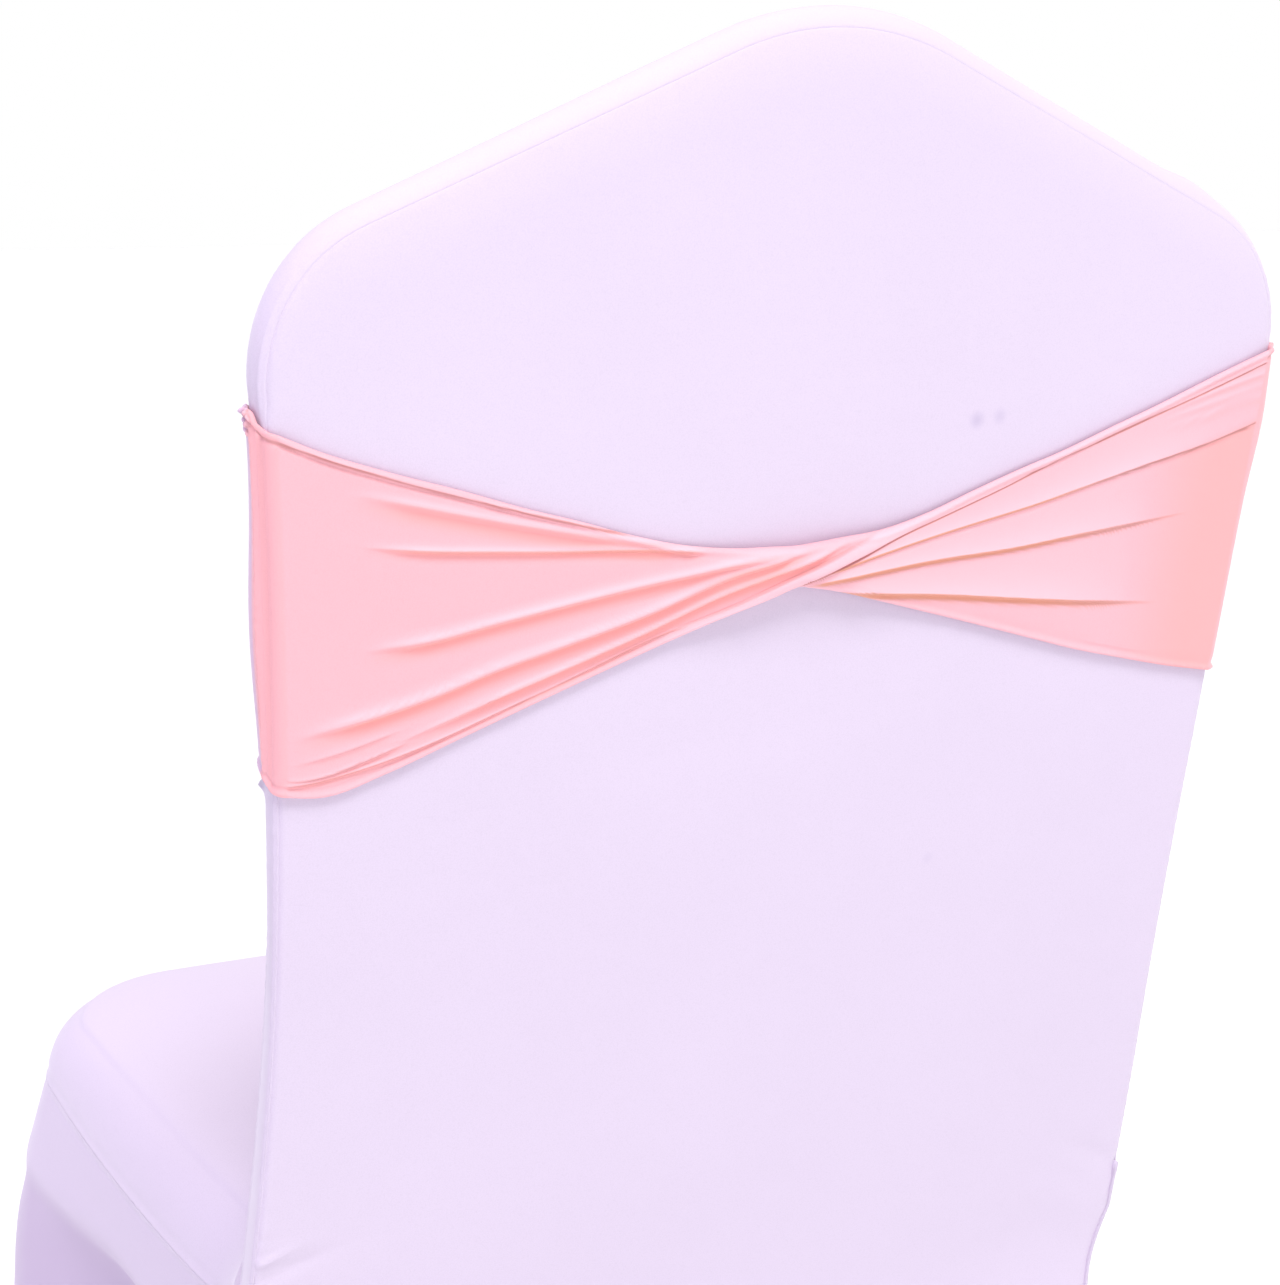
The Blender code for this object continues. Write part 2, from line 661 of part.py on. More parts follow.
def main():
    clear_scene()
    make_back_panel(cloth_finish("back_panel_cloth", COVER_COLOUR, COVER_ROUGHNESS))
    make_front_panel(cloth_finish("front_panel_cloth", COVER_COLOUR, COVER_ROUGHNESS))
    make_back_gusset(cloth_finish("back_gusset_cloth", COVER_COLOUR, COVER_ROUGHNESS))
    make_seat_panel(cloth_finish("seat_panel_cloth", COVER_COLOUR, COVER_ROUGHNESS))
    make_seat_skirt(cloth_finish("seat_skirt_cloth", COVER_COLOUR, COVER_ROUGHNESS))
    make_sash_band(cloth_finish("sash_cloth", SASH_COLOUR, SASH_ROUGHNESS))


main()
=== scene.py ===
"""Visual model of the stretch chair cover and its twisted sash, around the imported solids.

Every sheet is built on the solids' own lines with finer steps, and gets its seams, puckers,
creases and rolled hems here. Heights are above the waist; MOUNT moves them to the row's frame.
"""
import math

import bpy
import numpy as np
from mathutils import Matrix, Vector


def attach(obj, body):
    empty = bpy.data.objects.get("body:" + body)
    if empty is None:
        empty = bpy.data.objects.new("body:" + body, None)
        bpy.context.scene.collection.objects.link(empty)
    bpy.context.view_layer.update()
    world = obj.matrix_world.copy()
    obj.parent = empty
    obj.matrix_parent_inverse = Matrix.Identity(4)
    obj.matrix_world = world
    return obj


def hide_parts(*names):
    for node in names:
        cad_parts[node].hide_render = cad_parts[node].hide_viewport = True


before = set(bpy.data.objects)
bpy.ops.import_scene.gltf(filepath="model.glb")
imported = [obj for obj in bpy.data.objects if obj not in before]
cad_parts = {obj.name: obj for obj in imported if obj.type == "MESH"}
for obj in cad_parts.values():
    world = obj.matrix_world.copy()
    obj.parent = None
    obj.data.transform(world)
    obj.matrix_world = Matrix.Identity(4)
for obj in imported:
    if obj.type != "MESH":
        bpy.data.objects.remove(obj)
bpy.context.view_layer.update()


def table(columns, *rows):
    """Rows of values under named columns."""
    return [dict(zip(columns.split(), row)) for row in rows]



# Shape of the cover, as in the part's source
CLOTH = 0.0016
BACK_LEAN, BACK_BOW, BACK_DEPTH, BACK_END = 0.223, 0.156, 0.030, -0.060
WAIST_HALF, WAIST_FLARE = 0.209, 0.06
NARROW_HALF, NARROW_H = 0.204, 0.135
SHOULDER_HALF, SHOULDER_H, SHOULDER_RADIUS = 0.2095, 0.330, 0.0555
CROWN_SLOPE, CROWN_RADIUS, CAP_BASE_H = math.radians(23.2), 0.110, 0.275
FRONT_PADDING, PADDING_EASE, FRONT_DRAW_IN = 0.010, 0.060, 0.006
FRONT_INSET = CLOTH + 0.0005 + FRONT_DRAW_IN
MOUNT = (0.0, 0.05667, 0.45553)

BULGE_ROWS = table(
    "height bulge",
    (-0.060, 0.0010),
    (0.050, 0.0015),
    (0.120, 0.0018),
    (0.200, 0.0032),
    (0.330, 0.0050),
    (0.380, 0.0075),
    (0.450, 0.0095),
)
BULGE_SKEW = 0.75
SHOULDER_TUCK = {"x": -0.163, "reach": 0.012, "height": 0.0020}

SEAM_AT_WAIST, SEAT_RISE = -0.0561, 0.0227
SEAT_SIDE_ROWS = table(
    "y half",
    (-0.0452, 0.2100),
    (-0.0560, 0.2062),
    (-0.0700, 0.2045),
    (-0.1000, 0.2086),
    (-0.1300, 0.2127),
    (-0.1650, 0.2167),
    (-0.2000, 0.2200),
    (-0.2350, 0.2227),
    (-0.2700, 0.2246),
    (-0.3050, 0.2260),
)
SEAT_CORNER_RADIUS, SEAT_FRONT_BOW, SEAT_MIDDLE_Y = 0.058, 0.005, -0.205
SEAT_DOME_ROWS = table(
    "step inset share rise tilt",
    (0, 0.0000, 0.00, 0.0000, 0.00),
    (1, 0.0025, 0.00, 0.0105, 0.50),
    (2, 0.0075, 0.00, 0.0205, 0.90),
    (3, 0.0170, 0.00, 0.0290, 1.20),
    (4, 0.0340, 0.00, 0.0345, 1.42),
    (5, 0.0340, 0.40, 0.0395, 1.52),
    (6, 0.0340, 0.75, 0.0425, 1.56),
)
SEAT_CREST = 0.0430

FLOOR, HEM_LOW = -0.465, 0.006
SIDE_ARCH, REAR_ARCH, FRONT_ARCH = 0.105, 0.120, 0.110
SKIRT_ROWS = table(
    "height corner middle",
    (-0.060, 0.000, 0.0000),
    (-0.085, 0.008, 0.0025),
    (-0.106, 0.0145, 0.0030),
    (-0.114, 0.0165, 0.0005),
    (-0.130, 0.021, -0.006),
    (-0.175, 0.027, -0.013),
    (-0.260, 0.030, -0.018),
    (-0.360, 0.032, -0.016),
    (-0.459, 0.034, -0.010),
)
REAR_REACH, REAR_JOIN, REAR_KICK = 0.20, -0.085, 0.075
REAR_WIDTH_ROWS = table(
    "height half",
    (-0.085, 0.2141),
    (-0.110, 0.2090),
    (-0.175, 0.2110),
    (-0.260, 0.2150),
    (-0.465, 0.2230),
)

SASH_CLOTH, SASH_GAP, SASH_CORNER = 0.0014, 0.0005, 0.003
SASH_REAR_ROWS = table(
    "x top bottom",
    (0.2095, 0.317, 0.190),
    (0.1940, 0.310, 0.188),
    (0.1700, 0.3015, 0.194),
    (0.1440, 0.2935, 0.203),
    (0.1180, 0.285, 0.212),
    (0.0990, 0.2795, 0.2185),
    (0.0800, 0.2735, 0.225),
    (0.0580, 0.268, 0.2325),
    (0.0330, 0.265, 0.241),
    (0.0200, 0.2647, 0.2452),
    (0.0110, 0.2644, 0.2484),
    (0.0080, 0.2645, 0.2489),
    (0.0040, 0.2648, 0.2482),
    (-0.0100, 0.2660, 0.2452),
    (-0.0280, 0.2675, 0.2400),
    (-0.0480, 0.272, 0.234),
    (-0.0700, 0.2796, 0.2275),
    (-0.0900, 0.2864, 0.2215),
    (-0.1100, 0.2926, 0.2155),
    (-0.1320, 0.3006, 0.209),
    (-0.1540, 0.3084, 0.2035),
    (-0.1860, 0.3206, 0.196),
    (-0.2095, 0.329, 0.1915),
)
SASH_FRONT_TOP, SASH_FRONT_BOTTOM = 0.317, 0.190
SASH_LEFT_LIFT, SASH_RIGHT_LIFT = 0.0055, 0.0024
KNOT_X, KNOT_BULK, KNOT_BULK_REACH, MEASURED_BULK = 0.005, 0.0034, 0.042, 0.0066

# Rise of the upper edge to the bunch, depths of the joining seam and of the painted violet shade behind it
SASH_CORNER_RISE, BUNCH_LIFT = 0.0006, 0.0052
SEAM_DEPTH, VIOLET_SHADE_FROM = 0.0062, 0.0075
# Where the band stands off the cover's sides, and how much further the right bow's pleats do
SIDE_LIFT = {"height": 0.247, "reach": 0.040, "lift": 0.0028}
RIGHT_SWELL = {"height": 0.298, "reach": 0.024, "lift": 0.0022}
RIGHT_LIFT = 0.0004
# How far a line moves in the photo for each unit that it stands out
SEEN_ACROSS, SEEN_UP = 0.5, 0.39
# Names of the painted shade and highlights on the sash's mesh
PAINTED_LIGHT_KEYS = ("crease", "shade_highlight", "violet_shade", "dark_line_shade")
# Points of a section's front and back, and the run of stitches from one section to the next
FRONT_COUNT, BACK_COUNT, STATION_STEP = 166, 18, 0.0016

# Folds of the sash as lines of (x, height) across the rear face. Each line is a crest with a steep
# lower side; "from" and "to" are where it starts and ends, "soft" how far it takes to rise there.
# "above" and "below" are the widths of its two sides, "dark" the painted shade under it and the painted
# highlight on it, and "thin" and
# "dark_width" the strength and width of the painted shade line in its crease. Folds under THIN_FOLD in
# height are hems.
THIN_FOLD = 0.001
LEFT_FOLDS = table(
    "from to soft height above below dark thin dark_width line",
    (0.232, 0.074, 0.030, 0.0006, 0.0020, 0.0007, 0.14, 0.80, 0.0010,
     ((0.2095, 0.3155), (0.1894, 0.3073), (0.1652, 0.2985), (0.1401, 0.2905), (0.1052, 0.2803),
      (0.0872, 0.2754), (0.0690, 0.2709))),
    (0.184, 0.058, 0.030, 0.0013, 0.0045, 0.0028, 0.80, 0.15, 0.0026,
     ((0.1760, 0.2932), (0.1567, 0.2882), (0.1433, 0.2848), (0.1226, 0.2797), (0.1049, 0.2757),
      (0.0690, 0.2686), (0.0550, 0.2668))),
    (0.179, 0.044, 0.026, 0.0015, 0.0034, 0.0012, 0.85, 0.45, 0.0016,
     ((0.1790, 0.2765), (0.1529, 0.2727), (0.1291, 0.2706), (0.0972, 0.2681), (0.0724, 0.2667),
      (0.0547, 0.2656), (0.0400, 0.2648))),
    (0.179, 0.004, 0.028, 0.0019, 0.0048, 0.0024, 0.95, 0.20, 0.0034,
     ((0.1780, 0.2394), (0.1519, 0.2403), (0.1279, 0.2443), (0.1034, 0.2482), (0.0680, 0.2539),
      (0.0554, 0.2561), (0.0324, 0.2612), (0.0166, 0.2640))),
    (0.204, -0.014, 0.030, 0.0021, 0.0052, 0.0026, 1.00, 0.15, 0.0040,
     ((0.2000, 0.2105), (0.1714, 0.2150), (0.1494, 0.2202), (0.1271, 0.2271), (0.1025, 0.2332),
      (0.0671, 0.2432), (0.0366, 0.2560), (0.0158, 0.2626), (0.0018, 0.2660))),
    (0.172, -0.026, 0.050, 0.0020, 0.0028, 0.0018, 0.90, 0.20, 0.0022,
     ((0.1626, 0.2050), (0.1265, 0.2166), (0.1019, 0.2243), (0.0667, 0.2365), (0.0360, 0.2508),
      (0.0161, 0.2584), (-0.0030, 0.2642), (-0.0140, 0.2668))),
    (0.215, 0.050, 0.020, 0.0009, 0.0016, 0.0007, 0.55, 0.60, 0.0006,
     ((0.2095, 0.1935), (0.1940, 0.1936), (0.1826, 0.1953), (0.1488, 0.2036), (0.1263, 0.2112),
      (0.1017, 0.2196), (0.0667, 0.2332), (0.0356, 0.2454), (0.0157, 0.2550), (-0.0052, 0.2623),
      (-0.0271, 0.2684))),
    (0.210, 0.158, 0.020, 0.0008, 0.0020, 0.0008, 0.45, 0.45, 0.0007,
     ((0.2060, 0.1962), (0.1990, 0.1950), (0.1900, 0.1956), (0.1760, 0.1992), (0.1550, 0.2062))),
    (0.206, 0.160, 0.020, 0.0006, 0.0030, 0.0012, 0.25, 0.15, 0.0012,
     ((0.2000, 0.2010), (0.1850, 0.2035), (0.1600, 0.2100))),
)
# The lower line of the hem that crosses the knot and runs along the top of the right bow
ROLL = {"line": ((0.0353, 0.2424), (0.0254, 0.2460), (0.0153, 0.2501), (0.0048, 0.2541), (-0.0059, 0.2575),
                 (-0.0186, 0.2607), (-0.0325, 0.2645), (-0.0532, 0.2698), (-0.0678, 0.2743),
                 (-0.0838, 0.2798), (-0.0990, 0.2857), (-0.1315, 0.2970), (-0.1639, 0.3083),
                 (-0.1937, 0.3190), (-0.2095, 0.3250))}
# Pleats of the right bow, from the top down: "full" is where they have their full height, "end"
# where they die out, and "far_dark" how far the painted orange shade in their crease turns to painted brown
# shade towards the end
PLEATS = table(
    "full end height dark_width far_dark line",
    (-0.016, -0.232, 0.0010, 0.0008, 0.9,
     ((0.0000, 0.2560), (-0.0068, 0.2574), (-0.0188, 0.2592), (-0.0330, 0.2608), (-0.0454, 0.2624),
      (-0.0738, 0.2670), (-0.1010, 0.2723), (-0.1181, 0.2765), (-0.1508, 0.2844), (-0.1846, 0.2925),
      (-0.2082, 0.3001))),
    (-0.010, -0.178, 0.0015, 0.0015, 0.5,
     ((0.0080, 0.2515), (0.0001, 0.2526), (-0.0144, 0.2532), (-0.0342, 0.2533), (-0.0580, 0.2536),
      (-0.0884, 0.2546), (-0.1212, 0.2578), (-0.1482, 0.2604), (-0.1760, 0.2632))),
    (-0.024, -0.169, 0.0016, 0.0021, 0.3,
     ((0.0040, 0.2490), (-0.0042, 0.2475), (-0.0208, 0.2450), (-0.0358, 0.2425), (-0.0572, 0.2393),
      (-0.0915, 0.2344), (-0.1259, 0.2301), (-0.1652, 0.2261))),
)

# The left bow's lower hem, which is the crossing hem's upper line at the knot
HEM_LINE = LEFT_FOLDS[6]
# Faint folds that fan out under the upper right corner: start below the edge, and slope
FAN_ROWS = table(
    "start slope",
    (0.0090, 0.10),
    (0.0140, 0.13),
    (0.0190, 0.16),
)
# Small knobs of the gathered hem at the joining seam's upper end
BUNCH_ROWS = table(
    "depth down radius height",
    (0.0112, 0.0012, 0.0013, 0.0016),
    (0.0090, 0.0024, 0.0011, 0.0013),
    (0.0116, 0.0040, 0.0012, 0.0014),
    (0.0072, 0.0012, 0.0010, 0.0012),
    (0.0088, 0.0052, 0.0012, 0.0014),
    (0.0066, 0.0040, 0.0011, 0.0012),
    (0.0052, 0.0018, 0.0010, 0.0010),
    (0.0110, 0.0070, 0.0012, 0.0011),
    (0.0082, 0.0080, 0.0011, 0.0010),
)

# Columns beside a panel's edge, and rows beside a hem of the sash, as distances from that edge
EDGE_STEPS = np.array([0.0001, 0.0005, 0.0011, 0.0015, 0.0020, 0.0026, 0.0034, 0.0045,
                       0.006, 0.008, 0.0105, 0.0135])
HEM_STEPS = np.array([0.0, 0.00008, 0.00022, 0.00042, 0.0007, 0.0010, 0.0014, 0.0018,
                      0.0023, 0.0029, 0.0036])
# The wrinkle at the sitter's left end of the waist, and shallow drag lines at both ends
WRINKLE_ROWS = table(
    "x height reach tilt width stand",
    (0.203, -0.0015, 0.010, 0.40, 0.0016, 0.0013),
    (0.196, -0.0080, 0.018, 0.25, 0.0035, -0.0010),
    (-0.198, -0.052, 0.016, -0.55, 0.0040, -0.0012),
    (-0.188, -0.075, 0.030, -0.45, 0.0060, 0.0010),
    (0.188, -0.070, 0.030, 0.45, 0.0060, 0.0010),
)
# Faint smudges on the rear panel
SMUDGES = table(
    "x height reach shade",
    (-0.0679, 0.3063, 0.0050, 0.55),
    (-0.0784, 0.3073, 0.0045, 0.40),
    (-0.0714, 0.1236, 0.0040, 0.18),
)

# Colours of the cloths, and of the painted shade and highlights that their meshes carry
COVER_COLOUR, SASH_COLOUR, SMUDGE_COLOUR = (0.735, 0.640, 0.785), (0.94, 0.485, 0.535), (0.50, 0.42, 0.60)
FLOOR_COLOUR, WORLD_WHITE, WORLD_VIOLET = (0.92, 0.92, 0.92), (1.0, 1.0, 1.0, 1.0), (0.74, 0.66, 0.98, 1.0)
COVER_MARKS = (("shaded", 1.0, (0.556, 0.448, 0.620)),)
# Painted shade, painted highlight, painted violet shade on the far side, painted orange shade in creases
# and painted dark shade lines
SASH_PAINTED_LIGHT = (
    ("shade_highlight", 1.0, (0.96, 0.40, 0.385)),
    ("shade_highlight", -1.0, (0.96, 0.59, 0.66)),
    ("violet_shade", 0.85, (0.66, 0.50, 0.68)),
    ("crease", 1.0, (0.78, 0.34, 0.24)),
    ("dark_line_shade", 1.0, (0.56, 0.22, 0.20)),
)

# Camera, fitted to the photo, and lights
PHOTO_HEIGHT, SENSOR = 1285, 36.0
CAMERA = {"place": (0.40813, 0.71357, 0.39718), "yaw": 0.4673, "pitch": 0.2170, "focal_px": 2122.72}
LAMP = {"place": (0.30, 1.30, 1.85), "target": (0.0, 0.0, -0.12), "power": 22.0, "size": 0.8}
SUNS = table(
    "name from strength spread",
    ("key", (0.13, 0.56, 0.82), 1.05, 20.0),
    ("top", (0.10, -0.30, 0.95), 0.8, 40.0),
)
STAGE_SIZE = 25.0


def smooth(t):
    t = np.clip(t, 0.0, 1.0)
    return t * t * (3.0 - 2.0 * t)


def fade(x, start, length):
    """0 at the start and 1 a length further on, towards -x where the length is negative."""
    return float(smooth((x - start) / length))


def bell(t):
    return np.exp(-t * t)


def curve_through(points, at):
    """A smooth curve through points."""
    points = np.array(sorted(points), float)
    k, v = points[:, 0], points[:, 1]
    slope = np.gradient(v, k)
    at = np.clip(at, k[0], k[-1])
    i = np.clip(np.searchsorted(k, at) - 1, 0, len(k) - 2)
    step = k[i + 1] - k[i]
    t = (at - k[i]) / step
    a = v[i] * (1 + 2 * t) * (1 - t) ** 2 + v[i + 1] * t * t * (3 - 2 * t)
    return a + step * (slope[i] * t * (1 - t) ** 2 - slope[i + 1] * t * t * (1 - t))


def curve(rows, key, value, at):
    """A smooth curve through a table's column."""
    return curve_through([(row[key], row[value]) for row in rows], at)


def wander(at, seed, scale):
    """A slow irregular wave of about unit height, the same on each run."""
    rng = np.random.default_rng(seed)
    total = np.zeros_like(np.asarray(at, float))
    for k in range(6):
        total = total + np.sin(at / scale * (0.6 + 0.55 * k) + rng.uniform(0, 6.28)) / (1.0 + 0.5 * k)
    return total / 2.2


# Lines of the cover

def rear_y(h):
    start = BACK_LEAN * REAR_JOIN - BACK_BOW * REAR_JOIN ** 2
    slope = BACK_LEAN - 2.0 * BACK_BOW * REAR_JOIN
    length = REAR_JOIN - FLOOR
    t = np.clip((REAR_JOIN - h) / length, 0.0, 1.0)
    low = start - slope * length * t * (1.0 - t) ** 2 + REAR_KICK * smooth(t)
    return np.where(h >= REAR_JOIN, BACK_LEAN * h - BACK_BOW * h * h, low)


def back_point(x, h, depth):
    x, h, depth = np.broadcast_arrays(np.asarray(x, float), np.asarray(h, float), np.asarray(depth, float))
    lean = np.arctan(BACK_LEAN - 2.0 * BACK_BOW * np.maximum(h, REAR_JOIN))
    return np.stack([x, rear_y(h) - depth * np.cos(lean), h + depth * np.sin(lean)], -1)


def half_width(h):
    h = np.asarray(h, float)
    low = curve(REAR_WIDTH_ROWS, "height", "half", h)
    waist = WAIST_HALF - WAIST_FLARE * h
    side = NARROW_HALF + (WAIST_HALF - NARROW_HALF) * (1.0 - h / NARROW_H) ** 2
    t = (h - NARROW_H) / (SHOULDER_H - NARROW_H)
    high = NARROW_HALF + (SHOULDER_HALF - NARROW_HALF) * t * t
    rise = np.clip(h - SHOULDER_H, 0.0, SHOULDER_RADIUS)
    top = SHOULDER_HALF - SHOULDER_RADIUS + np.sqrt(SHOULDER_RADIUS ** 2 - rise ** 2)
    bands = [h < REAR_JOIN, h < 0.0, h < NARROW_H, h <= SHOULDER_H]
    return np.select(bands, [low, waist, side, high], top)


def bulge_at(h, x=0.0):
    tuck = SHOULDER_TUCK["height"] * bell((x - SHOULDER_TUCK["x"]) / SHOULDER_TUCK["reach"])
    return curve(BULGE_ROWS, "height", "bulge", h) + np.where(h > SHOULDER_H, tuck, 0.0)


def strip_offset(bulge, depth):
    share = np.clip(depth / BACK_DEPTH, 0.0, 1.0)
    return bulge * np.sin(np.pi * share ** BULGE_SKEW) - FRONT_DRAW_IN * share


def crown_line(fillet_steps, slope_steps, peak_steps):
    """The crown from the left shoulder over the peak to the right one: points and normals."""
    turn = math.pi / 2 - CROWN_SLOPE
    centre = np.array([SHOULDER_HALF - SHOULDER_RADIUS, SHOULDER_H])
    angles = np.linspace(0.0, turn, fillet_steps + 1)
    fillet_n = np.stack([np.cos(angles), np.sin(angles)], 1)
    fillet = centre + SHOULDER_RADIUS * fillet_n
    start, normal = fillet[-1], fillet_n[-1]
    peak_x = CROWN_RADIUS * math.cos(turn)
    peak_start = np.array([peak_x, start[1] + math.tan(CROWN_SLOPE) * (start[0] - peak_x)])
    shares = np.linspace(0.0, 1.0, slope_steps + 1)[1:, None]
    slope = start + (peak_start - start) * shares
    angles = turn + CROWN_SLOPE * np.linspace(0.0, 1.0, peak_steps + 1)[1:]
    peak_n = np.stack([np.cos(angles), np.sin(angles)], 1)
    peak = peak_start - CROWN_RADIUS * normal + CROWN_RADIUS * peak_n
    points = np.concatenate([fillet, slope, peak])
    normals = np.concatenate([fillet_n, np.repeat(normal[None], slope_steps, 0), peak_n])
    flip = np.array([-1.0, 1.0])
    return (np.concatenate([points, points[-2::-1] * flip]),
            np.concatenate([normals, normals[-2::-1] * flip]))


def along(points):
    """Run along a line of points."""
    steps = np.linalg.norm(np.diff(points, axis=0), axis=1)
    return np.concatenate([[0.0], np.cumsum(steps)])


def resample(values, run, at):
    return np.stack([np.interp(at, run, values[:, k]) for k in range(values.shape[1])], 1)


def outline():
    """The rear seam, from the left end up over the crown and down: points and normals."""
    crown, crown_n = crown_line(60, 40, 40)
    h = np.linspace(BACK_END, SHOULDER_H, 120, endpoint=False)
    side = np.stack([half_width(h), h], 1)
    side_n = np.repeat([[1.0, 0.0]], len(h), 0)
    flip = np.array([-1.0, 1.0])
    points = np.concatenate([side, crown, side[::-1] * flip])
    normals = np.concatenate([side_n, crown_n, side_n[::-1] * flip])
    return points, normals


OUTLINE, OUTLINE_N = outline()


def seam_distance(x, h):
    """Distance from points of the back to its side and crown seam."""
    flat = np.stack([x.ravel(), h.ravel()], 1)
    nearest = np.full(len(flat), 1.0)
    for a, b in zip(OUTLINE[:-1], OUTLINE[1:]):
        along_ab = b - a
        t = np.clip(((flat - a) @ along_ab) / (along_ab @ along_ab), 0.0, 1.0)
        nearest = np.minimum(nearest, np.linalg.norm(flat - a - t[:, None] * along_ab, axis=1))
    return nearest.reshape(x.shape)


# Meshes

def finish_mesh(name, points, faces, node, look, marks=None):
    mesh = bpy.data.meshes.new(name)
    mesh.from_pydata((np.asarray(points) - np.array(MOUNT)).tolist(), [], faces)
    mesh.update()
    mesh.shade_smooth()
    for key, values in (marks or {}).items():
        mark = mesh.attributes.new(key, "FLOAT", "POINT")
        mark.data.foreach_set("value", np.asarray(values, np.float32))
    mesh.materials.append(look)
    piece = bpy.data.objects.new(name, mesh)
    bpy.context.scene.collection.objects.link(piece)
    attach(piece, "root")
    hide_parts(node)
    return piece


def sheet_faces(rows, columns):
    back = rows * columns
    faces = []
    for i in range(rows - 1):
        for j in range(columns - 1):
            a = i * columns + j
            c = a + columns
            faces.append((a, a + 1, c + 1, c))
            faces.append((back + a, back + c, back + c + 1, back + a + 1))
    rim = list(range(columns))
    rim += [i * columns + columns - 1 for i in range(1, rows)]
    rim += [(rows - 1) * columns + j for j in range(columns - 2, -1, -1)]
    rim += [i * columns for i in range(rows - 2, 0, -1)]
    for a, b in zip(rim, rim[1:] + rim[:1]):
        faces.append((a, back + a, back + b, b))
    return faces


def sheet(name, outer, inner, node, look, turned=False, marks=None):
    rows, columns = outer.shape[:2]
    points = np.concatenate([outer.reshape(-1, 3), inner.reshape(-1, 3)])
    faces = sheet_faces(rows, columns)
    if turned:
        faces = [face[::-1] for face in faces]
    return finish_mesh(name, points, faces, node, look, marks)


# Rear and front panels

def across_places(middle_columns):
    """Columns of a panel from +1 to -1, close together at its two edges."""
    edge = 1.0 - EDGE_STEPS / WAIST_HALF
    middle = np.linspace(edge[-1], -edge[-1], middle_columns + 2)[1:-1]
    return np.concatenate([edge, middle, -edge[::-1]])


def panel_places(u, side_rows, cap_rows, inset):
    """Grid of x and height: straight rows, then a cap that ends on the crown's seam."""
    crown, crown_n = crown_line(80, 60, 60)
    run = along(crown)
    at = (1.0 - u) / 2.0 * run[-1]
    top = resample(crown, run, at) - (inset + EDGE_STEPS[0]) * resample(crown_n, run, at)
    x = [u * (half_width(h) - inset) for h in side_rows]
    heights = [np.full_like(u, h) for h in side_rows]
    base = np.stack([u * (half_width(CAP_BASE_H) - inset), np.full_like(u, CAP_BASE_H)], 1)
    length = np.linalg.norm(top - base, axis=1)
    shares = [v * (1.0 - EDGE_STEPS[-1] / length) for v in np.linspace(0.0, 1.0, cap_rows)]
    shares += [1.0 - (e - EDGE_STEPS[0]) / length for e in EDGE_STEPS[-2::-1]]
    for share in shares:
        place = base + (top - base) * share[:, None]
        x.append(place[:, 0])
        heights.append(place[:, 1])
    return np.array(x), np.array(heights)


def crown_share(h):
    """0 on the straight sides and 1 on the crown, where the edge is rounder and softer."""
    return smooth((h - 0.335) / 0.045)


def in_band(h):
    """1 under the sash band at the sides, where the seam is pressed flat."""
    return smooth((h - 0.186) / 0.006) * (1.0 - smooth((h - 0.318) / 0.008))


def edge_drop(h):
    """How far the cloth has turned forward where the rear panel meets the boxing strip."""
    return 0.0010 - 0.0008 * crown_share(h)


def puckers(run, distance, seed, height=0.00022):
    """Small gathers that start at a seam and die out from it."""
    wave = np.sin(run / 0.0011 + 2.5 * wander(run, seed, 0.02))
    return height * wave * (0.55 + 0.45 * wander(run, seed + 1, 0.035)) * np.exp(-distance / 0.006)


def rear_relief(x, h, distance):
    """Depth of the rear panel's surface below its own plane."""
    soft = crown_share(h)
    radius = 0.0028
    t = np.clip(1.0 - (distance - EDGE_STEPS[0]) / radius, 0.0, 1.0)
    depth = edge_drop(h) * (1.0 - np.sqrt(1.0 - t * t))
    depth += 0.0008 * (1.0 - soft) * (1.0 - in_band(h)) * bell(distance / 0.0011)
    # The cloth falls away softly towards its seams
    depth += (0.0010 + 0.0016 * soft) * np.clip(1.0 - distance / 0.018, 0.0, 1.0) ** 2
    run = np.where(np.abs(x) > 0.19, h, x)
    depth += puckers(run, distance, 11) * (1.0 - 0.8 * soft)
    covered = smooth((h - 0.170) / 0.02) * (1.0 - smooth((h - 0.325) / 0.02))
    waves = wander(x + 0.7 * h, 5, 0.06) * wander(h - 0.3 * x, 6, 0.09)
    depth += 0.0006 * (1.0 - covered) * smooth(distance / 0.05) * waves
    for row in WRINKLE_ROWS:
        across = (h - row["height"]) - row["tilt"] * (row["x"] - x)
        depth -= row["stand"] * bell(across / row["width"]) * bell((x - row["x"]) / row["reach"])
    return depth


def make_back_panel(look):
    u = across_places(104)
    hem = hem_height((u + 1.0) / 2.0, REAR_ARCH)
    x, h = [], []
    lows = np.concatenate([np.linspace(1.0, 0.955, 9), np.linspace(0.945, 0.0, 48)[:-1]])
    for share in lows:
        heights = BACK_END + (hem - BACK_END) * share
        x.append(u * half_width(heights))
        h.append(heights)
    sides = np.concatenate([np.linspace(BACK_END, -0.022, 10), np.linspace(-0.019, 0.012, 26),
                            np.linspace(0.016, 0.270, 56)])
    xs, hs = panel_places(u, sides, 34, 0.0)
    x, h = np.concatenate([np.array(x), xs]), np.concatenate([np.array(h), hs])
    distance = np.minimum(seam_distance(x, h), np.where(h < BACK_END, half_width(h) - np.abs(x), 1.0))
    depth = rear_relief(x, h, distance)
    rows = len(lows)
    hem_run = np.full(x.shape, 1.0)
    hem_run[:rows] = (1.0 - lows[:, None]) * (BACK_END - hem)[None, :]
    depth -= 0.0007 * bell((hem_run - 0.0095) / 0.0012) + 0.0006 * bell(hem_run / 0.0015)
    outer = back_point(x, h, depth)
    inner = back_point(x, h, depth + CLOTH)
    piece = sheet("back_panel_cloth", outer, inner, "back_panel", look)
    return piece


def front_padding(h, distance):
    inside = np.clip((distance - FRONT_INSET) / PADDING_EASE, 0.0, 1.0)
    low = smooth((h - BACK_END) / (2.0 * PADDING_EASE))
    return FRONT_PADDING * (1.0 - (1.0 - inside) ** 2) * low


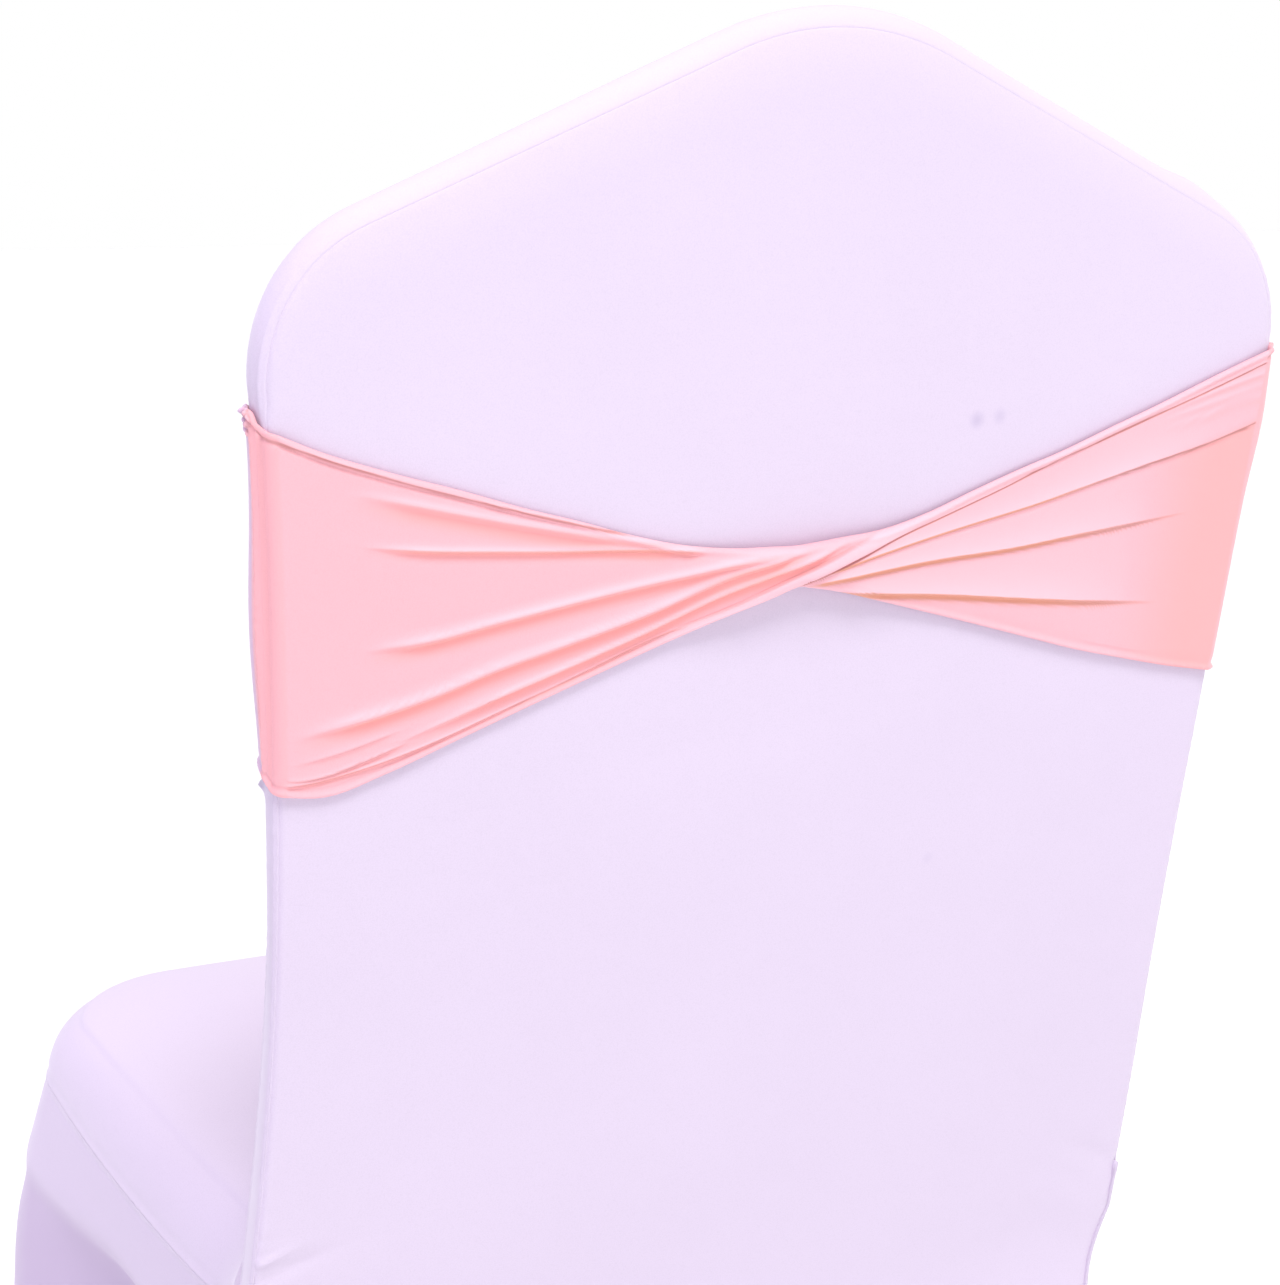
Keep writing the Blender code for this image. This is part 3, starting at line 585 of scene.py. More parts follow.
def make_front_panel(look):
    u = across_places(90)
    inset = FRONT_DRAW_IN
    sides = np.linspace(BACK_END, 0.270, 84)
    x, h = panel_places(u, sides, 34, inset)
    distance = seam_distance(x, h)
    near = np.clip(distance - inset, 0.0, 1.0)
    stand = front_padding(h, distance)
    radius = 0.0035
    t = np.clip(1.0 - near / radius, 0.0, 1.0)
    stand -= 0.0012 * (1.0 - np.sqrt(1.0 - t * t)) + 0.0008 * bell(near / 0.0011)
    stand += puckers(np.where(np.abs(x) > 0.19, h, x), near, 31)
    stand += 0.0007 * smooth(near / 0.05) * wander(x - 0.6 * h, 35, 0.06) * wander(h, 36, 0.08)
    crease = smooth((h + 0.055) / 0.05)
    stand += 0.0016 * (1.0 - crease) * np.sin(x / 0.0085 + 2.0 * wander(x, 37, 0.05))
    outer = back_point(x, h, BACK_DEPTH + stand)
    inner = back_point(x, h, BACK_DEPTH + stand - CLOTH)
    piece = sheet("front_panel_cloth", outer, inner, "front_panel", look, turned=True)
    return piece


def make_back_gusset(look):
    run = along(OUTLINE)
    at = np.linspace(0.0, run[-1], 760)
    line, normal = resample(OUTLINE, run, at), resample(OUTLINE_N, run, at)
    normal /= np.linalg.norm(normal, axis=1)[:, None]
    h, x = line[:, 1], line[:, 0]
    soft, free = crown_share(h), 1.0 - in_band(h)
    start = edge_drop(h) + 0.0010 + 0.0016 * soft
    steps = np.array([0.0, 0.00008, 0.00025, 0.0005, 0.0009, 0.0014, 0.0020, 0.0028, 0.0038, 0.0052, 0.007,
                      0.009, 0.0112, 0.0135, 0.016, 0.0185, 0.021, 0.0232, 0.0250, 0.0264, 0.0274,
                      0.0281, 0.0286, 0.0290])
    share = (steps / steps[-1])[None, :]
    length = (BACK_DEPTH - start)[:, None]
    inward = share * length
    depth = start[:, None] + inward
    depth[:, 0] += 0.0002
    side = bulge_at(h, x)[:, None]
    out = strip_offset(side, share * BACK_DEPTH)
    lip = ((1.0 - soft) * free)[:, None]
    out += 0.0007 * lip * bell((inward - 0.0015) / 0.0008)
    out[:, 0] -= 0.0010
    rest = length - inward
    out += 0.0005 * free[:, None] * bell((rest - 0.0014) / 0.0008) - 0.0008 * bell(rest / 0.0007)
    run_at = np.broadcast_to(at[:, None], out.shape)
    out += puckers(run_at, inward, 51, 0.00018) * (1.0 - 0.7 * soft)[:, None]
    out += puckers(run_at, rest, 54, 0.00025)
    out += 0.0005 * wander(at, 57, 0.05)[:, None] * np.sin(np.pi * share)
    # The small tuck that shows under the band on the sitter's left
    tuck = bell((h[:, None] - 0.1855) / 0.0016) * bell((depth - 0.021) / 0.004) * (x > 0.0)[:, None]
    out += 0.0030 * tuck
    d_out, d_depth = np.gradient(out, axis=1), np.gradient(depth, axis=1)
    size = np.hypot(d_out, d_depth)
    back_out, back_depth = out - CLOTH * d_depth / size, depth + CLOTH * d_out / size
    line, normal = line[:, None, :], normal[:, None, :]
    outer = back_point(line[..., 0] + normal[..., 0] * out, line[..., 1] + normal[..., 1] * out, depth)
    inner = back_point(line[..., 0] + normal[..., 0] * back_out, line[..., 1] + normal[..., 1] * back_out,
                       back_depth)
    piece = sheet("back_gusset_cloth", outer, inner, "back_gusset", look)
    return piece


# Seat and skirt

def seat_seam_z(y):
    return SEAM_AT_WAIST - SEAT_RISE * y


def seat_line():
    """Seam round the seat, from its rear left corner round the front to the right."""
    y = np.linspace(SEAT_SIDE_ROWS[0]["y"], SEAT_SIDE_ROWS[-1]["y"], 90)
    side = np.stack([curve(SEAT_SIDE_ROWS, "y", "half", y), y], 1)
    corner = side[-1] - np.array([SEAT_CORNER_RADIUS, 0.0])
    angle = np.linspace(0.0, math.pi / 2, 50)[1:]
    arc = corner + SEAT_CORNER_RADIUS * np.stack([np.cos(angle), -np.sin(angle)], 1)
    share = np.linspace(1.0, 0.0, 50)[1:]
    front = np.stack([arc[-1, 0] * share, arc[-1, 1] - SEAT_FRONT_BOW * (1.0 - share ** 2)], 1)
    half = np.concatenate([side, arc, front])
    line = np.concatenate([half, half[-2::-1] * np.array([-1.0, 1.0])])
    return line


def plan_normals(line):
    step = np.gradient(line, axis=0)
    step /= np.linalg.norm(step, axis=1)[:, None]
    normals = np.stack([-step[:, 1], step[:, 0]], 1)
    normals[0], normals[-1] = (1.0, 0.0), (-1.0, 0.0)
    return normals


def make_seat_panel(look):
    line = seat_line()
    run = along(line)
    path = resample(line, run, np.linspace(0.0, run[-1], 420))
    rear = np.linspace(0.0, 1.0, 90)[1:-1, None]
    path = np.concatenate([path, path[-1] + (path[0] - path[-1]) * rear])
    total = along(np.concatenate([path, path[:1]]))[:-1]
    middle = np.array([0.0, SEAT_MIDDLE_Y])
    away = path - middle
    away /= np.linalg.norm(away, axis=1)[:, None]
    steps = np.concatenate([np.linspace(0.0, 0.5, 10)[:-1], np.linspace(0.5, 4.0, 34)[:-1],
                            np.linspace(4.0, 6.0, 22)])
    at_rear = smooth((path[:, 1] + 0.075) / 0.025)
    skins = []
    for skin in (0.0, CLOTH):
        rings = []
        for step in steps:
            keys = ("tilt", "inset", "rise", "share")
            tilt, inset, rise, share = (curve(SEAT_DOME_ROWS, "step", key, step) for key in keys)
            lip = 0.0003 * bell((rise - 0.0004) / 0.0012) - 0.0002 * bell((rise - 0.0040) / 0.0016)
            gather = puckers(total, rise + 0.6 * inset, 71, 0.00014)
            inward = inset + skin * math.cos(tilt) - (lip + gather) * math.cos(tilt)
            place = path - away * inward[:, None]
            place = place + (middle - place) * share
            x, y = place[:, 0], place[:, 1]
            calm = smooth(rise / 0.03)
            swell = 0.0012 * calm * wander(x + 0.4 * y, 73, 0.07) * wander(y, 74, 0.06)
            drag = 0.0010 * at_rear * calm * (1.0 - share) * np.sin(x / 0.010 + wander(x, 75, 0.05))
            z = seat_seam_z(y) + rise - skin * math.sin(tilt) + swell + drag + 0.0001
            rings.append(np.stack([x, y, z], 1))
        top = np.array([[middle[0], middle[1], seat_seam_z(middle[1]) + SEAT_CREST - skin]])
        skins.append(np.concatenate(rings + [top]))
    faces = dome_faces(len(path), len(steps))
    piece = finish_mesh("seat_panel_cloth", np.concatenate(skins), faces, "seat_panel", look)
    return piece


def dome_faces(count, ring_count):
    """Faces of a dome's two skins, each of rings and a top point, and of the rim between them."""
    size = count * ring_count + 1
    faces = []
    for base, flip in ((0, 1), (size, -1)):
        for i in range(ring_count - 1):
            for j in range(count):
                k = (j + 1) % count
                a, b = base + i * count + j, base + i * count + k
                faces.append((b, a, a + count, b + count)[::flip])
        last = base + (ring_count - 1) * count
        for j in range(count):
            faces.append((last + (j + 1) % count, last + j, base + size - 1)[::flip])
    for j in range(count):
        k = (j + 1) % count
        faces.append((j, k, size + k, size + j))
    return faces


def hem_height(share, arch):
    return FLOOR + HEM_LOW + arch * np.sin(np.pi * share) ** 2


def skirt_top():
    """The skirt's upper line, from the rear left corner round the front, and the run along it."""
    depths = np.linspace(0.0, BACK_DEPTH - 0.001, 14)
    edge = half_width(BACK_END) + strip_offset(bulge_at(np.full_like(depths, BACK_END)), depths)
    left = back_point(edge, BACK_END, depths)
    seat = seat_line()
    seat = np.concatenate([seat, seat_seam_z(seat[:, 1])[:, None]], 1)
    top = np.concatenate([left, seat, left[::-1] * np.array([-1.0, 1.0, 1.0])])
    run = along(top[:, :2])
    at = np.linspace(0.0, run[-1], 520)
    return resample(top, run, at), at


def skirt_seam_relief(at, below):
    """The seat seam's lip and puckers on the skirt."""
    lip = 0.0003 * bell((below - 0.0002) / 0.0010) - 0.0003 * bell((below - 0.0035) / 0.0016)
    return lip, puckers(at, below, 91, 0.00014)


def make_seat_skirt(look):
    top, at = skirt_top()
    normals = plan_normals(top[:, :2])
    total = at[-1]
    side = np.minimum(at, total - at)
    corner_y = SEAT_SIDE_ROWS[-1]["y"] - 0.6 * SEAT_CORNER_RADIUS
    corner_run = at[np.argmax(top[:, 1] < corner_y)]
    front = side > corner_run
    local = np.where(front, (side - corner_run) / (total / 2 - corner_run) / 2, side / corner_run)
    hem = hem_height(local, np.where(front, FRONT_ARCH, SIDE_ARCH))
    to_corner = np.where(side > 0.5 * corner_run, np.cos(np.pi * local) ** 2, 0.0)
    span = BACK_END - FLOOR - HEM_LOW
    downs = np.concatenate([np.linspace(0.0, 0.012, 7)[:-1], np.linspace(0.012, 0.20, 44)[:-1],
                            np.linspace(0.20, 0.965, 52)[:-1], np.linspace(0.965, 1.0, 9)])
    outer, inner, shades = [], [], []
    for down in downs:
        height = BACK_END - down * span
        z = top[:, 2] + (hem - top[:, 2]) * down
        corner = curve(SKIRT_ROWS, "height", "corner", height)
        middle = curve(SKIRT_ROWS, "height", "middle", height)
        spread = middle + (corner - middle) * to_corner
        rear = (1.0 - smooth(side / REAR_REACH)) * smooth(down / 0.02)
        spread = spread * (1.0 - rear)
        below = top[:, 2] - z
        lip, gathers = skirt_seam_relief(at, below)
        spread += lip + gathers * (1.0 - rear)
        # The padding's lower edge under the cloth, and the shade below it
        under_padding = smooth((below - 0.038) / 0.016) * (1.0 - rear)
        spread -= 0.0020 * under_padding
        shades.append(0.22 * smooth(below / 0.004) + 0.70 * under_padding)
        fold = smooth(below / 0.15) * (1.0 - rear)
        spread += 0.0022 * fold * wander(at, 93, 0.06) * (1.0 - 0.6 * to_corner)
        to_hem = (1.0 - down) * (top[:, 2] - hem)
        spread += 0.0007 * bell((to_hem - 0.0095) / 0.0012) + 0.0006 * bell(to_hem / 0.0015)
        shift_x = (half_width(z) - half_width(BACK_END)) * np.sign(top[:, 0])
        shift_y = rear_y(z) - rear_y(BACK_END)
        x = top[:, 0] + normals[:, 0] * spread + shift_x * rear
        y = top[:, 1] + normals[:, 1] * spread + shift_y * rear
        flat = np.stack([x, y], 1)
        facing = plan_normals(flat)
        outer.append(np.stack([x, y, z], 1))
        inner.append(np.stack([x - facing[:, 0] * CLOTH, y - facing[:, 1] * CLOTH, z], 1))
    outer, inner = np.array(outer), np.array(inner)
    shades = np.concatenate(shades)
    piece = sheet("seat_skirt_cloth", outer, inner, "seat_skirt", look, turned=True,
                  marks={"shaded": np.concatenate([shades, shades])})
    return piece


# Sash band

def line_height(fold, x):
    """Height of a fold's line at x."""
    return curve_through(fold["line"], x)


def knot_share(x):
    return math.exp(-((x - KNOT_X) / KNOT_BULK_REACH) ** 2)


def right_lift(x):
    """The right bow's pleats stand a little further out."""
    return RIGHT_LIFT * float(smooth((0.0 - x) / 0.04) * smooth((x + 0.205) / 0.06))


def seen_line(fold, x, stand):
    """Height of a line that was measured on flat cloth, where the cloth stands out instead."""
    stand = stand + right_lift(x) + 2.0 * (KNOT_BULK - MEASURED_BULK) * knot_share(x)
    return line_height(fold, x - SEEN_ACROSS * stand) + SEEN_UP * stand


def left_strength(fold, x):
    return float(smooth((fold["from"] - x) / fold["soft"]) * smooth((x - fold["to"]) / 0.012))


def pleat_strength(fold, x):
    start = fold["line"][0][0]
    grown = smooth((start - x) / (start - fold["full"]))
    return float(grown * smooth((x - fold["end"]) / 0.075) ** 0.6)


def roll_size(x):
    """Stand-out of the hem that crosses the knot: strong at the knot, slight along both bows."""
    left = 0.0004 + 0.0016 * fade(x, 0.085, -0.06)
    return left + (0.0006 - left) * fade(x, -0.005, -0.045)


def roll_bounds(x, top, bottom):
    """Heights between which that hem lies."""
    low = max(bottom, seen_line(ROLL, x, roll_size(x)))
    low = bottom + (low - bottom) * fade(x, 0.033, -0.016)
    end = HEM_LINE["line"][-1][0]
    high = seen_line(HEM_LINE, max(x, end), roll_size(x))
    high += (top - high) * float(smooth((end + 0.010 - x) / 0.012))
    return low, max(min(high, top), low + 0.0008)


def fold_lines(x, top, bottom):
    """Lines of a station that need fine steps."""
    lines = [seen_line(fold, x, 0.6 * fold["height"]) for fold in LEFT_FOLDS + PLEATS]
    lines += list(roll_bounds(x, top, bottom))
    return [min(max(line, bottom), top) for line in lines]


def crease_shade_mask(d, hidden, width):
    """Where painted shade goes: 1 in the part of a crease that shows under its lip, soft at the lower end.
    """
    return smooth((d + hidden + 1.3 * width) / (0.6 * width)) * (1.0 - smooth((d - 0.0001) / 0.0003))


def keep_stronger(cloth, key, mark):
    cloth[key] = np.maximum(cloth[key], mark)


def add_left_folds(cloth, x, h, top, bottom):
    """Folds that run from the left side into the knot."""
    room = (top - bottom) / 2.0
    for fold in LEFT_FOLDS:
        strength = left_strength(fold, x)
        if strength == 0.0:
            continue
        size = fold["height"] * strength * min(1.0, 0.5 + 0.5 * room / 0.012)
        crest = seen_line(fold, x, size)
        # Near the knot the folds run out into the top edge
        near_top = float(smooth((0.055 - x) / 0.02) * (1.0 - smooth((top - crest - 0.001) / 0.0045)))
        size, strength = size * (1.0 - near_top), strength * (1.0 - near_top)
        d = h - crest - 0.3 * fold["below"]
        above, below = min(fold["above"], 0.45 * room), min(fold["below"], 0.25 * room)
        upper = np.clip(1.0 - d / above, 0.0, 1.0) ** 2
        lower = smooth(1.0 + d / below)
        trough = 0.35 * bell((d + 1.7 * below) / (1.3 * below))
        cloth["relief"] += size * np.where(d >= 0.0, upper, lower - trough * smooth(-d / below))
        # Painted shade in the crease under the crest; hems get a painted dark shade line instead
        width = min(fold["dark_width"], 0.2 * room)
        mark = fold["thin"] * strength * crease_shade_mask(d, 0.3 * size, 0.5 * width)
        keep_stronger(cloth, "dark_line_shade" if fold["height"] < THIN_FOLD else "crease", mark)
        # Painted shade under the crest and painted highlight on its upper side
        dark = fold["dark"] * strength
        cloth["shade_highlight"] += dark * bell((d + 1.2 * below) / (1.1 * below + 0.0005)) * (d < 0.3 * below)
        cloth["shade_highlight"] -= 0.70 * dark * bell((d - 0.15 * above) / (0.32 * above)) * (d > -0.5 * below)


def add_crossing_hem(cloth, x, h, top, bottom):
    """The hem that crosses over the knot and runs on along the right bow; returns its lower line."""
    low, high = roll_bounds(x, top, bottom)
    size = roll_size(x)
    width = high - low
    inside = smooth((h - low) / 0.0005) * smooth((high - h) / 0.0005 + fade(x, -0.02, -0.01))
    hump = np.sqrt(np.clip(1.0 - ((h - low - 0.5 * width) / (0.5 * width)) ** 2, 0.0, 1.0))
    crossing = fade(x, 0.085, -0.05)
    covered = inside * crossing
    cloth["relief"] = cloth["relief"] * (1.0 - covered) + size * covered * (0.45 + 0.55 * hump)
    # Painted highlight along the top of the hem's hump
    bright = 0.65 * (1.0 - 0.5 * fade(x, -0.02, -0.05))
    cloth["shade_highlight"] = cloth["shade_highlight"] * (1.0 - covered) - bright * covered * hump
    # Painted dark shade lines along the hem's upper edge and under its lower edge
    over = crossing * (1.0 - fade(x, -0.012, -0.014))
    keep_stronger(cloth, "dark_line_shade", 0.35 * over * bell((h - high) / 0.00045))
    under = fade(x, 0.0145, -0.006)
    keep_stronger(cloth, "dark_line_shade", 0.85 * under * crease_shade_mask(h - low, 0.35 * size, 0.00032))
    return low


def add_pleats(cloth, x, h, upper_line):
    """Pleats of the right bow: each swells from the line above it and drops at its own."""
    for fold in PLEATS:
        strength = pleat_strength(fold, x)
        size = fold["height"] * strength
        line = min(seen_line(fold, x, size), upper_line)
        if strength > 0.0:
            ramp = np.clip((upper_line - h) / max(0.001, upper_line - line), 0.0, 1.0)
            d = h - line
            groove = 0.0002 * bell((d + 0.0016) / 0.0009) * (d < 0.0)
            drop = size * smooth(1.0 + d / 0.0009) - strength * groove
            cloth["relief"] += np.where(d >= 0.0, size * ramp ** 1.4, drop)
            # Painted orange shade in the crease under each lip, turning to painted dark shade towards the
            # end
            width = fold["dark_width"] * min(1.0, 0.25 + 1.1 * strength)
            mark = min(1.0, 2.0 * strength) * crease_shade_mask(d, 0.40 * size, width)
            far = fold["far_dark"] * fade(x, -0.100, -0.05)
            keep_stronger(cloth, "crease", mark * (1.0 - far))
            keep_stronger(cloth, "dark_line_shade", mark * far)
            # Painted highlight on each pleat's swell, strongest just above its own crease
            bright = np.where(d >= 0.0, -0.15 - 0.55 * ramp ** 2.0, 0.0)
            cloth["shade_highlight"] += strength * bright * (h < upper_line)
        upper_line = line


def add_fan(cloth, x, h, top):
    """Painted shade, a deeper pink, towards the right end, and the faint folds under its upper corner with
    painted shade and highlight beside them.
    """
    away = fade(x, -0.140, -0.05)
    under_first = smooth((line_height(PLEATS[0], x) + 0.004 - h) / 0.006)
    cloth["shade_highlight"] = cloth["shade_highlight"] * (1.0 - 0.6 * away) + 0.75 * away * under_first
    fan = fade(x, -0.150, -0.03)
    for fold in FAN_ROWS:
        across = (top - h) - fold["start"] + fold["slope"] * (x + 0.205)
        cloth["relief"] += 0.0005 * fan * bell(across / 0.0013)
        cloth["shade_highlight"] += 0.36 * fan * (bell((across - 0.0016) / 0.0012) - bell(across / 0.0013))


def fold_relief(x, h, top, bottom):
    """How far the folds stand out, with painted orange shade in their creases, painted dark shade lines and
    painted shade and highlights beside them.
    """
    cloth = {key: np.zeros_like(h) for key in ("relief",) + PAINTED_LIGHT_KEYS}
    add_left_folds(cloth, x, h, top, bottom)
    low = add_crossing_hem(cloth, x, h, top, bottom)
    add_pleats(cloth, x, h, low)
    add_fan(cloth, x, h, top)
    cloth["relief"] = np.maximum(cloth["relief"], -0.0004 - right_lift(x))
    for key in PAINTED_LIGHT_KEYS:
        cloth[key] = np.clip(cloth[key], -1.0 if key == "shade_highlight" else 0.0, 1.0)
    return cloth


def hem_profile(edge, run, seed, room):
    """Rolled hem beside an edge, with the small scallops of its overlock stitches."""
    scallop = 1.0 + 0.25 * math.sin(run / 0.00075) + 0.25 * float(wander(run, seed, 0.01))
    size = min(1.0, room / 0.03)
    roll = 0.0006 * scallop * bell((edge - 0.0012) / 0.0010)
    groove = 0.0004 * bell((edge - 0.0032) / 0.0009)
    return size * (roll - groove)


def front_heights(top, bottom, station):
    """Heights across the band from its top edge to its bottom one, close together at the folds."""
    x = station["at"] if station["on"] == "rear" else station["side"] * (SHOULDER_HALF - SASH_CORNER)
    if station["on"] == "front":
        x *= station["at"]
    scale = min(1.0, (top - bottom) / 2.0 / 0.012)
    hem = HEM_STEPS * scale
    high, low = top - hem[-1], bottom + hem[-1]
    fine = np.linspace(high, low, 1500)
    spread = min(0.0018, (top - bottom) * 0.04)
    density = 1.0 + 7.0 * bell((top - 0.005 - fine) / 0.005)
    for line in fold_lines(x, top, bottom):
        density += 6.0 * bell((fine - line) / spread)
    total = np.concatenate([[0.0], np.cumsum((density[1:] + density[:-1]) / 2.0)])
    count = FRONT_COUNT - 2 * len(hem) + 2
    middle = np.interp(np.linspace(0.0, total[-1], count), total, fine)
    return np.concatenate([top - hem, middle[1:-1], (bottom + hem)[::-1]])


def sash_stations():
    """Places round the band: over the rear face, the right side, the front and the left side."""
    flat = SHOULDER_HALF - SASH_CORNER
    # Closer together round the knot
    dense = np.linspace(0.045, -0.060, 120)
    places = np.concatenate([np.linspace(flat, dense[0], 120)[:-1], dense,
                             np.linspace(dense[-1], -flat, 120)[1:]])
    corner = np.linspace(0.0, math.pi / 2, 7)[1:]
    strip = np.linspace(SASH_CORNER, BACK_DEPTH - SASH_CORNER, 26)[1:]
    bunched = np.concatenate([np.linspace(SASH_CORNER, 0.0135, 26)[1:],
                              np.linspace(0.0135, BACK_DEPTH - SASH_CORNER, 14)[1:]])
    stations = []
    for on, side, values in (
        ("rear", 1.0, places),
        ("rear_corner", -1.0, corner),
        ("strip", -1.0, strip),
        ("front_corner", -1.0, corner),
        ("front", 1.0, np.linspace(-1.0, 1.0, 64)[1:-1]),
        ("front_corner", 1.0, corner[::-1]),
        ("strip", 1.0, bunched[::-1]),
        ("rear_corner", 1.0, corner[::-1]),
    ):
        depths = {"rear": 0.0, "rear_corner": 0.0, "front_corner": BACK_DEPTH, "front": BACK_DEPTH}
        for at in values:
            stations.append({"on": on, "side": side, "at": at, "depth": depths.get(on, at)})
    return stations


def sleeve(station, h, out):
    """Points this far outside the cover's sleeve."""
    on, side, at = station["on"], station["side"], station["at"]
    half = half_width(h)
    r = SASH_CORNER
    if on == "rear":
        return back_point(at * half / SHOULDER_HALF, h, -out)
    if on == "rear_corner":
        x = half - r + (r + out) * math.sin(at)
        return back_point(side * x, h, r - (r + out) * math.cos(at))
    if on == "strip":
        return back_point(side * (half + strip_offset(bulge_at(h), at) + out), h, at)
    front = half - FRONT_DRAW_IN
    if on == "front_corner":
        x = front - r + (r + out) * math.cos(at)
        return back_point(side * x, h, BACK_DEPTH - r + (r + out) * math.sin(at))
    x = at * (front - r)
    distance = half - np.abs(x)
    return back_point(x, h, BACK_DEPTH + front_padding(h, distance) + out + 0.0006)


def sash_edges(station):
    """Heights of the band's two edges at a station."""
    if station["on"] == "rear":
        x = station["at"]
        return curve(SASH_REAR_ROWS, "x", "top", x), curve(SASH_REAR_ROWS, "x", "bottom", x)
    if station["on"] == "front":
        return SASH_FRONT_TOP, SASH_FRONT_BOTTOM
    row = SASH_REAR_ROWS[0] if station["side"] > 0.0 else SASH_REAR_ROWS[-1]
    lift = SASH_LEFT_LIFT if station["side"] > 0.0 else SASH_RIGHT_LIFT
    flat = station["side"] * (SHOULDER_HALF - SASH_CORNER)
    # The edges keep their slope round the corner, and the upper one rises to the bunch
    turned = station["at"] / (math.pi / 2) if station["on"] == "rear_corner" else 1.0
    corner_top = curve(SASH_REAR_ROWS, "x", "top", flat) * (1.0 - turned)
    corner_top += (row["top"] + SASH_CORNER_RISE) * turned
    corner_bottom = curve(SASH_REAR_ROWS, "x", "bottom", flat) * (1.0 - turned) + row["bottom"] * turned
    t = smooth(station["depth"] / BACK_DEPTH)
    up = lift * math.sin(math.pi * station["depth"] / BACK_DEPTH)
    steep = up
    if station["side"] > 0.0:
        depth = station["depth"]
        steep = BUNCH_LIFT * float(smooth((depth - 0.0015) / 0.0050) * smooth((BACK_DEPTH - depth) / 0.014))
    top = corner_top + (SASH_FRONT_TOP - corner_top) * t + steep
    bottom = corner_bottom + (SASH_FRONT_BOTTOM - corner_bottom) * t + up
    return top, bottom


def joining_seam(station, h):
    """The sash's own joining seam on the left side: an upright ridge with small loops."""
    if station["on"] != "strip" or station["side"] < 0.0:
        return 0.0
    ridge = bell((station["depth"] - SEAM_DEPTH) / 0.0011)
    groove = bell((station["depth"] - SEAM_DEPTH + 0.0024) / 0.0010)
    loops = 1.0 + 0.25 * np.sin(h / 0.00068)
    return 0.0006 * ridge * loops - 0.0004 * groove


def bunch(station, h, top):
    """The gathered bit of hem at the joining seam's upper end: relief, and painted dark shade lines round
    it.
    """
    relief, shade = np.zeros_like(h), np.zeros_like(h)
    if station["side"] < 0.0 or station["on"] not in ("strip", "rear_corner"):
        return relief, shade
    for knob in BUNCH_ROWS:
        away = np.hypot(station["depth"] - knob["depth"], top - knob["down"] - h) / knob["radius"]
        relief = np.maximum(relief, knob["height"] * np.sqrt(np.clip(1.0 - (away / 1.1) ** 2, 0.0, 1.0)))
        shade = np.maximum(shade, 0.42 * bell((away - 1.12) / 0.20))
    inside = sum(bell((station["depth"] - k["depth"]) / 0.002) for k in BUNCH_ROWS)
    return relief, shade * min(1.0, inside)


def side_lift(station, h):
    """Stretched straight over the hollow of the cover's left side, and swelling out at the right."""
    on, depth = station["on"], station["depth"]
    if station["side"] > 0.0 and on in ("strip", "front_corner"):
        share = float(smooth(depth / 0.012))
        return SIDE_LIFT["lift"] * share * bell((h - SIDE_LIFT["height"]) / SIDE_LIFT["reach"])
    if station["side"] < 0.0 and on in ("rear_corner", "strip"):
        turned = math.sin(station["at"]) ** 2 if on == "rear_corner" else 1.0
        share = turned * float(smooth((BACK_DEPTH - depth) / 0.015))
        return RIGHT_SWELL["lift"] * share * bell((h - RIGHT_SWELL["height"]) / RIGHT_SWELL["reach"])
    return 0.0


def lens(h, centre, half):
    """Section of the thick knot: 1 in the middle and 0 at both edges."""
    return np.sqrt(np.clip(1.0 - ((h - centre) / half) ** 2, 0.0, 1.0))


def sash_ring(station, run):
    """A section of the band, its front from the top down and its back again, and the front's painted shade
    and highlights.
    """
    rear = station["on"] == "rear"
    top, bottom = (float(edge) for edge in sash_edges(station))
    centre, half = (top + bottom) / 2.0, (top - bottom) / 2.0
    x = station["at"] * float(half_width(centre)) / SHOULDER_HALF if rear else None
    bulk = KNOT_BULK * knot_share(x) if rear else 0.0
    h = front_heights(top, bottom, station)
    edge = np.minimum(top - h, h - bottom)
    rim = np.clip(1.0 - edge / (SASH_CLOTH / 2.0), 0.0, 1.0)
    body = SASH_CLOTH / 2.0 * np.sqrt(np.clip(1.0 - rim ** 2, 0.0, 1.0))
    outward = body + bulk * lens(h, centre, half) + hem_profile(edge, run, 101, half)
    lift = SASH_GAP + SASH_CLOTH / 2.0 + bulk
    if rear:
        cloth = fold_relief(x, h, top, bottom)
        outward += cloth["relief"] * smooth(edge / 0.0020)
        lift += right_lift(x)
        # Painted highlight along the rolled hems
        cloth["shade_highlight"] -= 0.25 * bell((edge - 0.001) / 0.001)
    else:
        cloth = {key: np.zeros_like(h) for key in PAINTED_LIGHT_KEYS}
        knobs, cloth["dark_line_shade"] = bunch(station, h, top)
        outward += joining_seam(station, h) * smooth(edge / 0.003) + knobs
        # Painted dark shade line under the upper hem round the sides
        keep_stronger(cloth, "dark_line_shade", 0.8 * bell((top - h - 0.0026) / 0.0005))
        # Painted shade on the band's sides, and painted highlight on the knobs
        cloth["shade_highlight"] += 0.25 - 0.7 * (knobs > 0.0003)
        # Painted violet shade over the far part of the left side
        if station["on"] == "strip":
            cloth["violet_shade"] += float(smooth((station["depth"] - VIOLET_SHADE_FROM) / 0.002))
        lift += side_lift(station, h)
    front = sleeve(station, h, lift + outward)
    back_h = centre - half * np.cos(np.linspace(0.0, math.pi, BACK_COUNT + 2)[1:-1])
    back_lift = np.interp(back_h, h[::-1], np.broadcast_to(lift, h.shape)[::-1])
    back = sleeve(station, back_h, back_lift - SASH_CLOTH / 2.0 - bulk * lens(back_h, centre, half))
    return np.concatenate([front, back]), cloth


